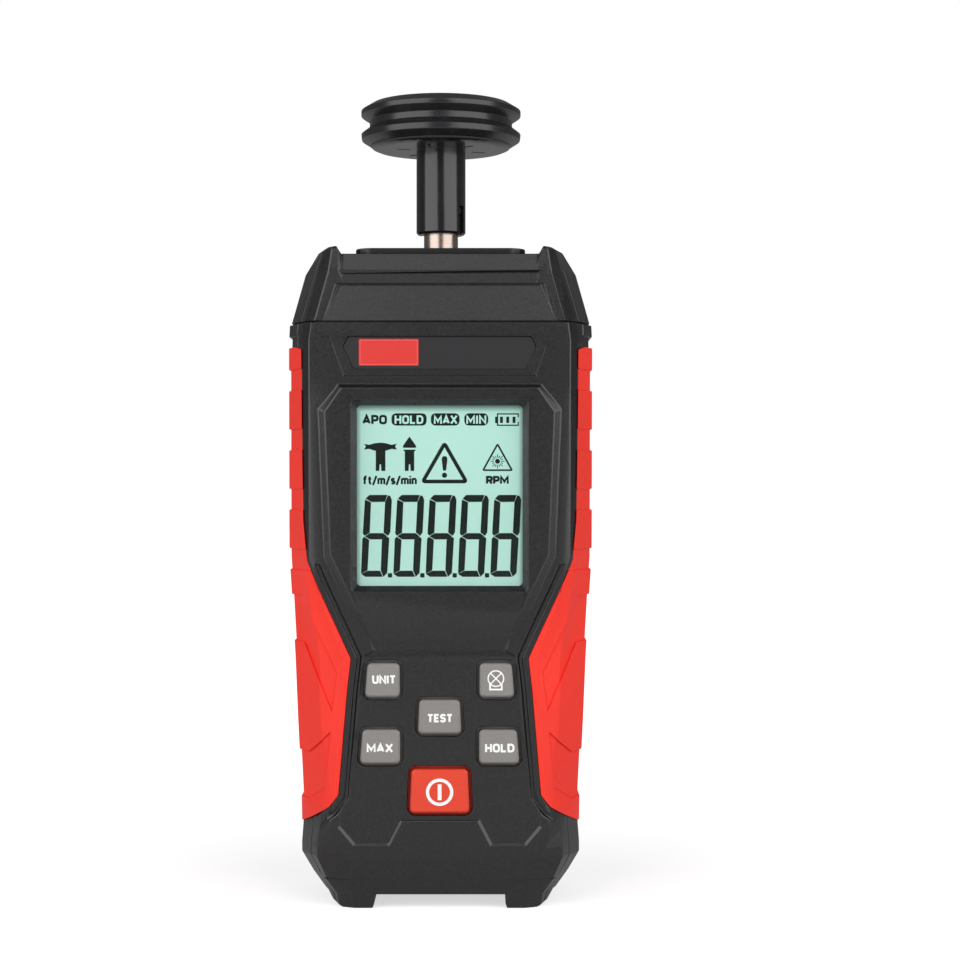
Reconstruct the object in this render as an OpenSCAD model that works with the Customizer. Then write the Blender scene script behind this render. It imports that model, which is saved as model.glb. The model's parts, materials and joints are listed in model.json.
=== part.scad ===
// Hand-held contact tachometer with a surface-speed wheel on its measuring shaft.
// Z is up along the shaft, X is to the right of the display, the display faces -Y,
// and the origin is on the standing surface under the shaft.

/* [Case] */
// Width over the grips
case_w = 60; // [58:1:66]
// Depth from the display frame to the back
case_d = 30; // [30:1:34]
// Height from the feet to the ears of the head
case_h = 128.7; // [126:0.1:134]
// Height of the two feet under the case
foot_h = 2.7; // [2:0.1:4]
// Wall thickness under the grips
wall = 1.4; // [1.2:0.1:1.8]
// Wall thickness of the front behind the key field
front_wall = 1.6; // [1.4:0.1:2]
// Depth of the front housing from its face to the parting plane
cover_d = 5.2; // [4.6:0.1:6]
// Gap at the parting plane and at the seam of the head
seam_gap = 0.15; // [0.1:0.05:0.3]
// Thickness of the rubber grips
grip_t = 1.2; // [0.8:0.1:1.4]
// Height of the grips over the shells
grip_proud = 0.25; // [0.1:0.05:0.4]
// Depth of the sunk panels in the grips
grip_sink = 0.4; // [0.2:0.1:0.6]

/* [Front] */
// Height of the display frame over the face
frame_h = 0.8; // [0.6:0.1:1.2]
// Depth of the ramps of the badge field and the head
ramp_sink = 0.8; // [0.5:0.1:1]
// Depth of the key field under the face
field_sink = 0.6; // [0.4:0.1:0.9]
// Thickness of the badge plate
badge_t = 0.4; // [0.3:0.1:0.6]
// Width of the groove beside the grips
groove_w = 0.6; // [0.4:0.1:0.9]
// Depth of the groove beside the grips
groove_sink = 0.9; // [0.5:0.1:1.1]

/* [Display] */
// Width of the visible display
view_w = 32; // [28:0.5:33]
// Height of the visible display
view_h = 34.9; // [30:0.5:36]
// Width of the sloping border round the display
bezel_w = 1.1; // [0.8:0.1:1.4]
// Thickness of the clear window
window_t = 1; // [0.8:0.1:1.2]
// Thickness of the liquid crystal panel
panel_t = 2; // [1.6:0.1:2.2]
// Thickness of the backlight
light_t = 1.8; // [1.4:0.1:2]
// Thickness of the circuit boards
board_t = 1.6; // [1:0.1:1.6]

/* [Keys] */
// Width of a large side key
key_w = 7.5; // [6.5:0.1:7.8]
// Height of a grey key
key_h = 6.5; // [5.6:0.1:6.8]
// Width of the power key
power_w = 11.2; // [9:0.1:12]
// Height of the power key
power_h = 8.4; // [7:0.1:8.8]
// Sideways place of the outer keys
key_x = 11.4; // [11:0.1:12]
// Height of the upper key row over the power key
key_rise = 21.4; // [20:0.1:22]
// How far the keys stand out of their field
key_proud = 0.9; // [0.85:0.05:1.2]
// Travel of a key
key_travel = 0.8; // [0.4:0.1:0.8]
// Gap round a key
key_gap = 0.6; // [0.3:0.05:0.7]

/* [Shaft and wheel] */
// Diameter of the shaft above the case
shaft_d = 6.8; // [6:0.1:7.2]
// Diameter of the shaft in its bearings
journal_d = 5; // [4:0.1:5.4]
// Running clearance of the shaft in a bearing, on the radius
running = 0.05; // [0.02:0.01:0.1]
// Outer diameter of a bearing
bearing_d = 13; // [11:0.5:14]
// Height of a bearing
bearing_h = 4; // [3:0.5:5]
// Distance between the two bearings
bearing_span = 14; // [12:0.5:15]
// Diameter of the slotted disc
disc_d = 20; // [18:0.5:21]
// Number of slots in the disc
disc_slots = 20; // [12:1:30]
// Diameter of the wheel at its tread, for a circumference of 100 mm
wheel_d = 31.83; // [28:0.01:36]
// Height of the wheel over the sleeve's flange
tyre_h = 8.2; // [7:0.1:10]
// Depth of the groove between the two ribs of the tyre
tyre_groove = 1.7; // [1:0.1:2]
// Diameter of the wheel's sleeve
sleeve_d = 9.8; // [9.4:0.1:11]
// Length of the sleeve under the wheel
sleeve_l = 16.9; // [15:0.1:20]
// Gap between the collar on the head and the sleeve
sleeve_gap = 3.4; // [2.5:0.1:5]
// How far the shaft reaches into the sleeve
shaft_reach = 13.5; // [12:0.1:14.5]
// Diameter of the cross pin
pin_d = 1.6; // [1.2:0.1:2]

/* [Batteries] */
// Diameter of a cell
cell_d = 10.5; // [10:0.1:10.6]
// Length of a cell
cell_l = 44.5; // [44:0.1:45]
// Distance between two cells
cell_pitch = 11.2; // [11:0.1:11.6]
// Height of the lower end of the cells
cell_z = 22.6; // [22:0.1:24]
// Thickness of the battery door
door_t = 1.7; // [1.4:0.1:2]

/* [Screws] */
// Radius of a case screw's shank
screw_r = 1.1; // [0.9:0.1:1.3]
// Radius of a case screw's head
head_r = 2; // [1.8:0.1:2.2]

/* [Hidden] */

// Overrun of every cut, the gap of a seated piece and the length that outlasts any cut
over = 0.5;
seat = 0.05;
far = 2 * case_h;
round_fn = 48;
small_fn = 24;

half_w = case_w / 2;
// Heights of the seam of the head, of the display's centre and of the power key's centre
seam_share = 0.885;
view_share = 0.623;
power_share = 0.1795;
seam_z = seam_share * case_h;
view_z = view_share * case_h;
power_z = power_share * case_h;
back_y = case_d / 2;
front_y = -back_y;
face_y = front_y + frame_h;
field_y = face_y + field_sink;
part_y = face_y + cover_d;
inner_y = field_y + front_wall;
skin_t = grip_t + wall;

// Sections of the case from the bottom up. Each row is height, then half width and
// depth of the front edge, of the front bevel and of the side, then of the back edge.
// Heights follow case_h, widths half_w, front depths face_y and back depths back_y.
body_shares = [
    [0.021, 0.56, 0.873, 0.667, 0.761, 0.763, 0.317, 0.400, 0.600, 0.853],
    [0.049, 0.59, 0.951, 0.747, 0.831, 0.850, 0.317, 0.433, 0.680, 0.973],
    [0.077, 0.61, 1.000, 0.800, 0.859, 0.922, 0.317, 0.467, 0.740, 1.000],
    [0.092, 0.68, 1.000, 0.800, 0.859, 0.922, 0.317, 0.467, 0.750, 1.000],
    [0.120, 0.72, 1.000, 0.787, 0.859, 0.913, 0.317, 0.467, 0.750, 1.000],
    [0.173, 0.68, 1.000, 0.747, 0.887, 0.917, 0.317, 0.467, 0.750, 1.000],
    [0.280, 0.64, 1.000, 0.773, 0.845, 0.940, 0.317, 0.467, 0.760, 1.000],
    [0.376, 0.62, 1.000, 0.790, 0.831, 0.957, 0.317, 0.467, 0.770, 1.000],
    [0.470, 0.77, 1.000, 0.843, 0.859, 0.980, 0.317, 0.467, 0.790, 1.000],
    [0.530, 0.84, 1.000, 0.887, 0.873, 0.997, 0.317, 0.467, 0.800, 1.000],
    [0.855, 0.85, 1.000, 0.897, 0.859, 1.000, 0.317, 0.467, 0.800, 1.000],
    [0.890, 0.83, 0.986, 0.890, 0.831, 0.993, 0.317, 0.467, 0.800, 0.990]
];
head_shares = [
    [0.880, 0.815, 0.965, 0.883, 0.817, 0.992, 0.246, 0.467, 0.813, 0.990],
    [0.962, 0.720, 0.908, 0.787, 0.768, 0.893, 0.225, 0.440, 0.727, 0.907],
    [0.996, 0.700, 0.866, 0.747, 0.732, 0.807, 0.211, 0.413, 0.687, 0.853],
    [1.000, 0.680, 0.824, 0.723, 0.697, 0.773, 0.197, 0.387, 0.667, 0.813]
];

function unit(v) = v / norm(v);
function left_normal(a, b) = let (t = unit(b - a)) [-t[1], t[0]];
// Moves every edge of a counter-clockwise outline inwards by a distance
function inset(points, distance) = let (n = len(points)) [
    for (i = [0:n - 1])
        let (u = left_normal(points[(i + n - 1) % n], points[i]),
            v = left_normal(points[i], points[(i + 1) % n]))
        points[i] + distance * (u + v) / (1 + u * v)
];
// Rounds every corner of an outline
function rounded(points, radius, steps = 4) = let (n = len(points)) [
    for (i = [0:n - 1])
        let (p = points[i], u = unit(points[(i + n - 1) % n] - p),
            v = unit(points[(i + 1) % n] - p), half = acos(u * v) / 2,
            centre = p + unit(u + v) * radius / sin(half),
            start = p + u * radius / tan(half) - centre,
            end = p + v * radius / tan(half) - centre)
        for (k = [0:steps])
            centre + radius * unit((steps - k) * start + k * end)
];
function mirrored(half) = concat(half,
    [for (i = [len(half) - 1:-1:0]) [-half[i][0], half[i][1]]]);
function scaled(shares, w, h) = [for (s = shares) [s[0] * w, s[1] * h]];
function box_outline(w, z0, z1) = [[-w / 2, z0], [w / 2, z0], [w / 2, z1], [-w / 2, z1]];
function raise(outline, z) = [for (p = outline) [p[0], p[1], z]];
function section(row) = mirrored([
    [row[1] * half_w, row[2] * face_y], [row[3] * half_w, row[4] * face_y],
    [row[5] * half_w, row[6] * face_y], [row[5] * half_w, row[7] * back_y],
    [row[8] * half_w, row[9] * back_y]]);

// Solid through rings of equally many points, the first ring lowest
module loft(rings) {
    n = len(rings[0]);
    m = len(rings);
    sides = [for (i = [0:m - 2], j = [0:n - 1])
        let (a = i * n + j, b = i * n + (j + 1) % n)
        each [[a, a + n, b + n], [a, b + n, b]]];
    bottom = [[for (j = [0:n - 1]) j]];
    top = [[for (j = [n - 1:-1:0]) (m - 1) * n + j]];
    polyhedron([for (ring = rings) each ring], concat(sides, bottom, top));
}
// Case solid from a table of sections, moved inwards by a depth
module skin(rows, depth) {
    loft([for (row = rows) raise(inset(section(row), depth), row[0] * case_h)]);
}
// Box between two corners
module block(low, high) {
    translate(low) cube(high - low);
}
// Outline in X and Z, extruded from one depth to another
module slab(outline, y0, y1) {
    rotate([90, 0, 0]) translate([0, 0, -y1]) linear_extrude(y1 - y0) polygon(outline);
}
// Frustum in front view, from the back outline at y_back to the front one at y_front
module bevelled(back_outline, y_back, front_outline, y_front) {
    rotate([90, 0, 0])
        loft([raise(back_outline, -y_back), raise(front_outline, -y_front)]);
}
// Cut in front of a sloping floor, from the bottom up: each row of the floor is its
// height, half width and depth, and the side walls lean outwards
module ramp(floor, y_front, lean) {
    loft([for (row = floor) let (run = lean * (row[2] - y_front))
        [[-row[1] - run, y_front, row[0]], [row[1] + run, y_front, row[0]],
        [row[1], row[2], row[0]], [-row[1], row[2], row[0]]]]);
}
// Round bar along Y
module bar(x, z, r, y0, y1) {
    translate([x, y1, z]) rotate([90, 0, 0]) cylinder(r = r, h = y1 - y0, $fn = small_fn);
}
module both_sides() {
    children();
    mirror([1, 0, 0]) children();
}
// Self-tapping screw along Y: its head lies at y and its shank runs forwards
module screw(x, z, y, shank, length, head, head_h) {
    slot = shank / 2;
    difference() {
        union() {
            bar(x, z, head, y, y + head_h);
            bar(x, z, shank, y - length, y + seat);
        }
        for (turn = [0, 90])
            translate([x, y + head_h, z]) rotate([0, turn, 0])
                cube([head * 1.3, head_h * 1.2, slot], center = true);
    }
}

// Grip outline in front view, right side, from the top down its inner edge
grip_shares = [
    [0.947, 0.849], [0.897, 0.844], [0.893, 0.723], [0.883, 0.586], [0.857, 0.525],
    [0.787, 0.486], [0.573, 0.378], [0.597, 0.329], [0.653, 0.173], [0.713, 0.155],
    [0.887, 0.127], [0.940, 0.121], [1.100, 0.121], [1.100, 0.849]
];
grip_back_shares = [
    [0.947, 0.849], [0.883, 0.844], [0.870, 0.180], [0.900, 0.140], [0.940, 0.121],
    [1.100, 0.121], [1.100, 0.849]
];
// Sunk panels of the lower grip in front view, right side
sunk_upper_shares = [
    [1.100, 0.472], [0.907, 0.471], [0.663, 0.357], [0.697, 0.298], [0.890, 0.400],
    [1.100, 0.403]
];
sunk_lower_shares = [
    [1.100, 0.235], [0.857, 0.233], [0.707, 0.267], [0.740, 0.183], [0.857, 0.161],
    [1.100, 0.167]
];
// Finger notches of the upper grip
notch_count = 4;
notch_z = 0.510 * case_h;
notch_pitch = 0.091 * case_h;
notch_h = 0.032 * case_h;

grip_outline = scaled(grip_shares, half_w, case_h);
grip_back = scaled(grip_back_shares, half_w, case_h);

// Space of both grips on one side, from the front edge round to the back edge
module grip_zone() {
    slab(grip_outline, -far, 0);
    slab(grip_back, 0, far);
}
module grip() {
    difference() {
        intersection() {
            grip_zone();
            skin(body_shares, 0);
        }
        skin(body_shares, grip_t);
        difference() {
            union() {
                slab(scaled(sunk_upper_shares, half_w, case_h), -far, far);
                slab(scaled(sunk_lower_shares, half_w, case_h), -far, far);
                for (i = [0:notch_count - 1])
                    translate([0, -far / 2, notch_z + i * notch_pitch])
                        cube([half_w * 2, far, notch_h]);
            }
            skin(body_shares, grip_sink);
        }
    }
}
module grip_right() {
    color("red") grip();
}
module grip_left() {
    color("red") mirror([1, 0, 0]) grip();
}

// Raised frame round the display: its foot and its face in front view
frame_foot_shares = [
    [0.420, 0.396], [0.573, 0.440], [0.753, 0.530], [0.793, 0.754], [0.660, 0.791]
];
frame_face_shares = [
    [0.513, 0.448], [0.540, 0.454], [0.703, 0.535], [0.740, 0.749], [0.633, 0.785]
];
// Ramps of the badge field and of the three bands of the head: lower height, upper
// height, half width at the lower and at the upper end
badge_ramp_shares = [0.803, 0.882, 0.607, 0.743];
band_shares = [
    [0.9635, 1.010, 0.630, 0.633], [0.9435, 0.9633, 0.630, 0.630],
    [0.893, 0.943, 0.737, 0.647]];
ramp_lean = 1;
// Chin between the display frame and the key field, from the bottom up: height, half
// width and depth, the depth as a share of the way from the frame to the key field
chin_shares = [[0.389, 0.415, 1.0], [0.396, 0.415, 1.2], [0.4215, 0.488, 0.3]];
chin_lean = 0.75;
// Sunk key field, from its lower edge up
field_shares = [
    [0.240, 0.130], [0.320, 0.094], [0.560, 0.094], [0.670, 0.124], [0.650, 0.165],
    [0.567, 0.250], [0.507, 0.384], [0.420, 0.396]
];
field_bevel = 0.8;
// Badge plate outline
plate_shares = [[0.553, 0.8135], [0.625, 0.846], [0.593, 0.8625]];

function pair(shares) = mirrored(scaled(shares, half_w, case_h));
plate_outline = pair(plate_shares);
badge_y = face_y + ramp_sink;
field_outline = pair(field_shares);

view_low = view_z - view_h / 2;
view_high = view_z + view_h / 2;
window_y = inner_y - window_t - seat * 4;
window_w = view_w + 2 * bezel_w;
panel_y = inner_y + seat;
panel_side = 2;
panel_end = 2.4;
panel_w = view_w + 2 * panel_side;
panel_h = view_h + 2 * panel_end;
holder_lip = 1.6;
light_y = panel_y + panel_t + seat;
light_rim = 1;
light_room = 0.9;
board_y = light_y + light_t + light_room;
board_back = board_y + board_t;

// Keys: name, place, width, height, and lean of the left and right edges
key_lean = 0.25;
power_lean = 0.35;
row_z = [power_z + key_rise, power_z + 0.67 * key_rise, power_z + 0.4 * key_rise];
keys = [
    ["unit", -key_x + 0.06 * key_w, row_z[0], 0.86 * key_w, key_h, 2 * key_lean, 0],
    ["lamp", key_x - 0.06 * key_w, row_z[0], 0.86 * key_w, key_h, 0, 2 * key_lean],
    ["test", 0, row_z[1], 1.08 * key_w, key_h, key_lean, key_lean],
    ["max", -key_x, row_z[2], key_w, key_h, 2 * key_lean, 0],
    ["hold", key_x, row_z[2], key_w, key_h, 0, 2 * key_lean],
    ["power", 0, power_z, power_w, power_h, power_lean, power_lean]
];
key_corner = 0.8;
key_room = 1.6;
flange_w = key_gap + 0.35;
flange_t = 0.8;
stem_r = 1.5;
stem_gap = 0.15;
switch_w = 6;
switch_t = 2.2;
function key_outline(key) = [
    [key[1] - key[3] / 2 - key[5] / 2, key[2] - key[4] / 2],
    [key[1] + key[3] / 2 + key[6] / 2, key[2] - key[4] / 2],
    [key[1] + key[3] / 2 - key[6] / 2, key[2] + key[4] / 2],
    [key[1] - key[3] / 2 + key[5] / 2, key[2] + key[4] / 2]];

// Places of screws and posts, right side: X and Z
case_screw_places = [[0.617 * half_w, 0.0816 * case_h], [0.737 * half_w, 0.813 * case_h]];
post_places = [[0.567 * half_w, 0.974 * power_z], [0.587 * half_w, 0.4235 * case_h]];
head_screw_place = [0.6 * half_w, 0.93 * case_h];
boss_wall = 0.4;
boss_r = head_r + boss_wall;
post_r = 1.8;
small_screw_r = 0.8;
small_head_t = 1;
large_head_t = 1.4;
tip_gap = 1;
screw_head_y = 0;
head_screw_sink = 7;
head_screw_bite = 2.6;
head_screw_y = back_y - head_screw_sink;
head_screw_tip = part_y - head_screw_bite;

// Battery space in the back
cell_gap = 0.4;
tray_y = back_y - door_t - cell_d - 4 * cell_gap;
tray_w = 2 * cell_pitch + cell_d + 2 * cell_gap;
spring_l = 3.4;
pole_room = 3;
plate_t = 0.4;
tray_z0 = cell_z - spring_l - plate_t;
tray_z1 = cell_z + cell_l + pole_room;
tray_wall = 1.2;
cell_y = back_y - door_t - cell_d / 2 - cell_gap;
door_lip = 1.4;
door_tongue = 6.8;
door_w = tray_w + 2 * door_lip;
door_z0 = tray_z0 - door_lip;
door_z1 = tray_z1 + door_tongue;
door_gap = 0.2;
door_floor = 0.7;
door_screw_z = door_z1 - 1.5 * boss_r;

// Shaft and its bearings
collar_h = 1.5;
collar_gap = 0.3;
top_z = case_h - collar_h;
head_wall = 1.8;
roof_gap = 0.9;
shaft_room = 0.9;
upper_z = top_z - head_wall - roof_gap - bearing_h;
lower_z = upper_z - bearing_span;
shoulder_z = upper_z + bearing_h + seat;
clip_h = 0.6;
clip_z = lower_z - seat - clip_h;
disc_hub_h = 2.4;
disc_t = 0.6;
disc_z = clip_z - seat - disc_hub_h;
shaft_tail = 1;
shaft_bottom = disc_z - shaft_tail;
sleeve_z = case_h + sleeve_gap;
shaft_top = sleeve_z + shaft_reach;
block_wall = 2;
block_r = bearing_d / 2 + block_wall;
tab_t = 2;
tab_reach = 4;
tab_x = block_r + tab_reach;
tab_z = lower_z + bearing_h / 2;
tab_y = block_r - tab_t;

// Shallow slope from the face to the front edge beside the display: height and half
// width at which it begins
rim_shares = [[0.470, 0.760], [0.530, 0.758], [0.760, 0.790], [0.855, 0.815], [0.890, 0.845]];
rim_slope = 0.2;
module rim_cut() {
    both_sides() loft([for (row = rim_shares) let (x = row[1] * half_w)
        [[x, face_y - over, row[0] * case_h], [half_w, face_y - over, row[0] * case_h],
        [half_w, face_y + rim_slope * (half_w - x), row[0] * case_h],
        [x, face_y, row[0] * case_h]]]);
}
// Space inside the two main shells, with flat pockets for the display and the keys
module body_cavity() {
    holder_w = panel_w / 2 + holder_lip + 4 * seat;
    holder_h = panel_h / 2 + holder_lip + 4 * seat;
    pocket_w = key_x + key_w / 2 + key_room;
    intersection() {
        skin(body_shares, skin_t);
        block([-half_w, inner_y, foot_h + wall + front_wall], [half_w, far, seam_z + over]);
    }
    block([-holder_w, inner_y, view_z - holder_h], [holder_w, board_y, view_z + holder_h]);
    block([-pocket_w, inner_y, power_z - power_h / 2 - key_room], [pocket_w, board_y, view_z]);
}
// Both shells of the body before the parting cut, without feet and inner parts
module body_shell() {
    difference() {
        intersection() {
            skin(body_shares, grip_proud);
            block([-far, -far, 0], [far, far, seam_z - seam_gap]);
        }
        body_cavity();
        rim_cut();
        both_sides() difference() {
            grip_zone();
            skin(body_shares, grip_t + seat);
        }
    }
}
// Feet: rounded outer corner, narrow inner side
foot_shares = [
    [0.435, 0], [0.63, 0], [0.70, 0.35], [0.75, 1.2], [0.75, 2.1], [0.435, 2.1], [0.425, 0.35]
];
foot_taper = 0.6;
module feet(y0, y1) {
    both_sides() intersection() {
        slab([for (s = foot_shares) [s[0] * half_w, s[1] * foot_h]], y0, y1);
        loft([
            raise(inset(section(body_shares[0]), foot_taper), 0),
            raise(section(body_shares[0]), foot_h),
            raise(inset(section(body_shares[1]), 2 / 3 * foot_taper), 2.1 * foot_h)]);
    }
}
module front_housing() {
    boss_y = part_y - seam_gap / 2;
    color("dimgray") difference() {
        union() {
            intersection() {
                union() {
                    body_shell();
                    bevelled(pair(frame_foot_shares), face_y + over,
                        pair(frame_face_shares), front_y);
                    feet(-far, far);
                }
                block([-far, front_y, 0], [far, boss_y, seam_z - seam_gap]);
            }
            both_sides() {
                for (p = case_screw_places)
                    bar(p[0], p[1], boss_r, inner_y - over, boss_y);
                for (p = post_places)
                    bar(p[0], p[1], post_r, inner_y - over, board_y - seat);
            }
        }
        both_sides() {
            for (p = case_screw_places)
                bar(p[0], p[1], screw_r, inner_y - over, boss_y + over);
            for (p = post_places)
                bar(p[0], p[1], small_screw_r, inner_y, board_y);
        }
        // Key field with sloping edges
        bevelled(inset(field_outline, field_bevel), field_y,
            inset(field_outline, -field_bevel / 2), face_y - field_sink / 2);
        for (key = keys)
            slab(rounded(inset(key_outline(key), -key_gap), key_corner + key_gap),
                -far, inner_y + over);
        // Display opening and the seat of its window
        bevelled(rounded(box_outline(view_w, view_low, view_high), key_corner), window_y,
            rounded(inset(box_outline(view_w, view_low, view_high), -bezel_w), key_corner),
            front_y - seat);
        slab(rounded(box_outline(view_w, view_low, view_high), key_corner),
            window_y - over, inner_y);
        slab(box_outline(window_w + 2 * seat, view_low - bezel_w - seat,
            view_high + bezel_w + seat), window_y, inner_y + over);
        // Sloping badge field and the seat of the badge plate
        ramp([[badge_ramp_shares[0] * case_h, badge_ramp_shares[2] * half_w, badge_y],
            [badge_ramp_shares[1] * case_h, badge_ramp_shares[3] * half_w, face_y]],
            front_y, ramp_lean);
        // Chin under the display frame
        ramp([for (row = chin_shares)
            [row[0] * case_h, row[1] * half_w, front_y + row[2] * (field_y - front_y)]],
            front_y - seat, chin_lean);
        slab(rounded(inset(plate_outline, -seat), key_corner), -far, badge_y + badge_t);
        // Groove beside the grips, its inner wall leaning
        both_sides() intersection() {
            difference() {
                bevelled(inset(grip_outline, -3 * groove_w), face_y + groove_sink,
                    inset(grip_outline, -4 * groove_w), face_y - groove_sink / 4);
                slab(inset(grip_outline, -2 * groove_w), -far, 0);
            }
            block([0, -far, 0], [far, 0, 0.52 * case_h]);
        }
    }
}
module rear_housing() {
    front = part_y + seam_gap / 2;
    notch = 2 * grip_t / 3;
    color("dimgray") difference() {
        union() {
            intersection() {
                union() {
                    body_shell();
                    feet(-far, far);
                    // Full-width shoulders over the grips
                    intersection() {
                        difference() {
                            skin(body_shares, 0);
                            body_cavity();
                        }
                        block([-far, front, 0.865 * case_h], [far, far, seam_z - seam_gap]);
                    }
                }
                block([-far, front, 0], [far, far, seam_z - seam_gap]);
            }
            both_sides()
                for (p = case_screw_places)
                    bar(p[0], p[1], boss_r, front, back_y - skin_t + over);
            // Bosses of the bearing block
            both_sides()
                bar(tab_x, tab_z, post_r, tab_y + tab_t + seat, back_y - skin_t + over);
            // Battery tray
            block([-tray_w / 2 - tray_wall, tray_y - tray_wall, tray_z0 - tray_wall],
                [tray_w / 2 + tray_wall, back_y - door_t, tray_z1 + tray_wall]);
            bar(0, door_screw_z, boss_r, tray_y, back_y - door_t);
        }
        // Necks between the shoulders and the grips
        both_sides()
            translate([half_w - notch, front - over, 0.849 * case_h])
                cube([half_w, far, 0.016 * case_h]);
        block([-tray_w / 2, tray_y, tray_z0], [tray_w / 2, far, tray_z1]);
        slab(box_outline(door_w + 2 * door_gap, door_z0 - door_gap, door_z1 + door_gap),
            back_y - door_t, far);
        both_sides() {
            for (p = case_screw_places) {
                bar(p[0], p[1], screw_r + seat, -far, screw_head_y + over);
                bar(p[0], p[1], head_r + seat, screw_head_y, far);
            }
            bar(tab_x, tab_z, small_screw_r, tab_y, back_y - skin_t);
        }
        // Room for the heads of the board screws
        both_sides() for (p = post_places)
            bar(p[0], p[1], post_r + 4 * seat, -far, board_back + small_head_t + 4 * seat);
        bar(0, door_screw_z, screw_r, tray_y + over, back_y);
    }
}

// Depth of the head's face at a height
function head_face(z) = lookup(z,
    [for (row = head_shares) [row[0] * case_h, row[2] * face_y]]);
module head_shell() {
    notch_low = 0.643 * half_w;
    notch_high = 0.68 * half_w;
    difference() {
        intersection() {
            skin(head_shares, 0);
            block([-far, -far, seam_z + seam_gap], [far, far, far]);
        }
        // Notch between the ears
        slab([[-notch_low, top_z], [notch_low, top_z], [notch_high, case_h + over],
            [-notch_high, case_h + over]], -far, far);
        // Three ramped bands across the front, each deepest at its upper end
        for (band = band_shares)
            ramp([[band[0] * case_h, band[2] * half_w, head_face(band[0] * case_h)],
                [band[1] * case_h, band[3] * half_w,
                head_face(band[1] * case_h) + ramp_sink]], front_y, ramp_lean);
        intersection() {
            skin(head_shares, head_wall);
            block([-far, part_y, 0], [far, far, top_z - head_wall]);
        }
        // Room for the bearing block and the shaft
        cylinder(r = block_r + collar_gap, h = top_z - head_wall, $fn = round_fn);
        cylinder(r = shaft_d / 2 + shaft_room, h = far, $fn = round_fn);
    }
}
module head_front() {
    color("dimgray") difference() {
        intersection() {
            head_shell();
            block([-far, front_y, 0], [far, part_y - seam_gap / 2, far]);
        }
        both_sides() bar(head_screw_place[0], head_screw_place[1], screw_r,
            head_screw_tip - seat, part_y);
    }
}
module head_rear() {
    front = part_y + seam_gap / 2;
    x = head_screw_place[0];
    z = head_screw_place[1];
    color("dimgray") difference() {
        union() {
            intersection() {
                head_shell();
                block([-far, front, 0], [far, far, far]);
            }
            both_sides() intersection() {
                bar(x, z, boss_r, front, back_y);
                skin(head_shares, seat);
            }
        }
        both_sides() {
            bar(x, z, screw_r + seat, -far, head_screw_y + over);
            bar(x, z, head_r + seat, head_screw_y, far);
        }
    }
}
module collar_plate() {
    w = 0.557 * case_w;
    d = 0.56 * case_d;
    color("dimgray") difference() {
        translate([0, 0, top_z + seat]) linear_extrude(collar_h - seat)
            polygon(rounded([[-w / 2, -d / 2], [w / 2, -d / 2], [w / 2, d / 2],
                [-w / 2, d / 2]], d / 5));
        translate([0, 0, top_z - over])
            cylinder(r = shaft_d / 2 + collar_gap, h = collar_h + 2 * over, $fn = round_fn);
    }
}

module badge_plate() {
    color("darkslategray")
        slab(rounded(plate_outline, key_corner), badge_y, badge_y + badge_t - seat);
}
module display_window() {
    color("lightcyan", 0.4)
        slab(box_outline(window_w, view_low - bezel_w, view_high + bezel_w),
            window_y + seat, window_y + seat + window_t);
}
module lcd_panel() {
    color("darkseagreen")
        slab(box_outline(panel_w, view_z - panel_h / 2, view_z + panel_h / 2),
            panel_y, panel_y + panel_t);
}
module backlight() {
    color("white")
        slab(box_outline(view_w + 2 * light_rim, view_low - light_rim, view_high + light_rim),
            light_y, light_y + light_t);
}
module lcd_holder() {
    outer_w = panel_w + 2 * holder_lip;
    outer_h = panel_h + 2 * holder_lip;
    color("whitesmoke") difference() {
        slab(box_outline(outer_w, view_z - outer_h / 2, view_z + outer_h / 2),
            inner_y + seat, board_y - seat);
        slab(box_outline(panel_w + 2 * seat, view_z - panel_h / 2 - seat,
            view_z + panel_h / 2 + seat), -far, far);
    }
}
module contact_strips() {
    strip_h = 1.1;
    color("lightpink") for (z = [view_z - panel_h / 2, view_z + panel_h / 2 - strip_h])
        slab(box_outline(view_w, z, z + strip_h), panel_y + panel_t + seat, board_y - seat);
}

// Main board with holes for its screws and a gap for the grips' waist
board_w = 1.38 * half_w;
board_z0 = power_z - power_h / 2 - holder_lip - key_corner;
board_z1 = view_z + panel_h / 2 + holder_lip;
module main_board() {
    color("darkgreen") difference() {
        slab(rounded(box_outline(board_w, board_z0, board_z1), key_corner), board_y, board_back);
        both_sides() for (p = post_places)
            bar(p[0], p[1], small_screw_r + seat, -far, far);
    }
}
chip_w = 9;
chip_t = 1.2;
chip_z = 0.66 * case_h;
module controller_chip() {
    lead = chip_w / 16;
    color("black") union() {
        slab(box_outline(chip_w, chip_z, chip_z + chip_w), board_back + 2 * seat,
            board_back + 2 * seat + chip_t);
        for (k = [0:7], side = [-1, 1])
            translate([side * (chip_w + lead) / 2 - lead, board_back + seat,
                chip_z + (k + 0.75) * chip_w / 8])
                cube([2 * lead, chip_t / 3, lead / 1.5]);
    }
}
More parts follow.
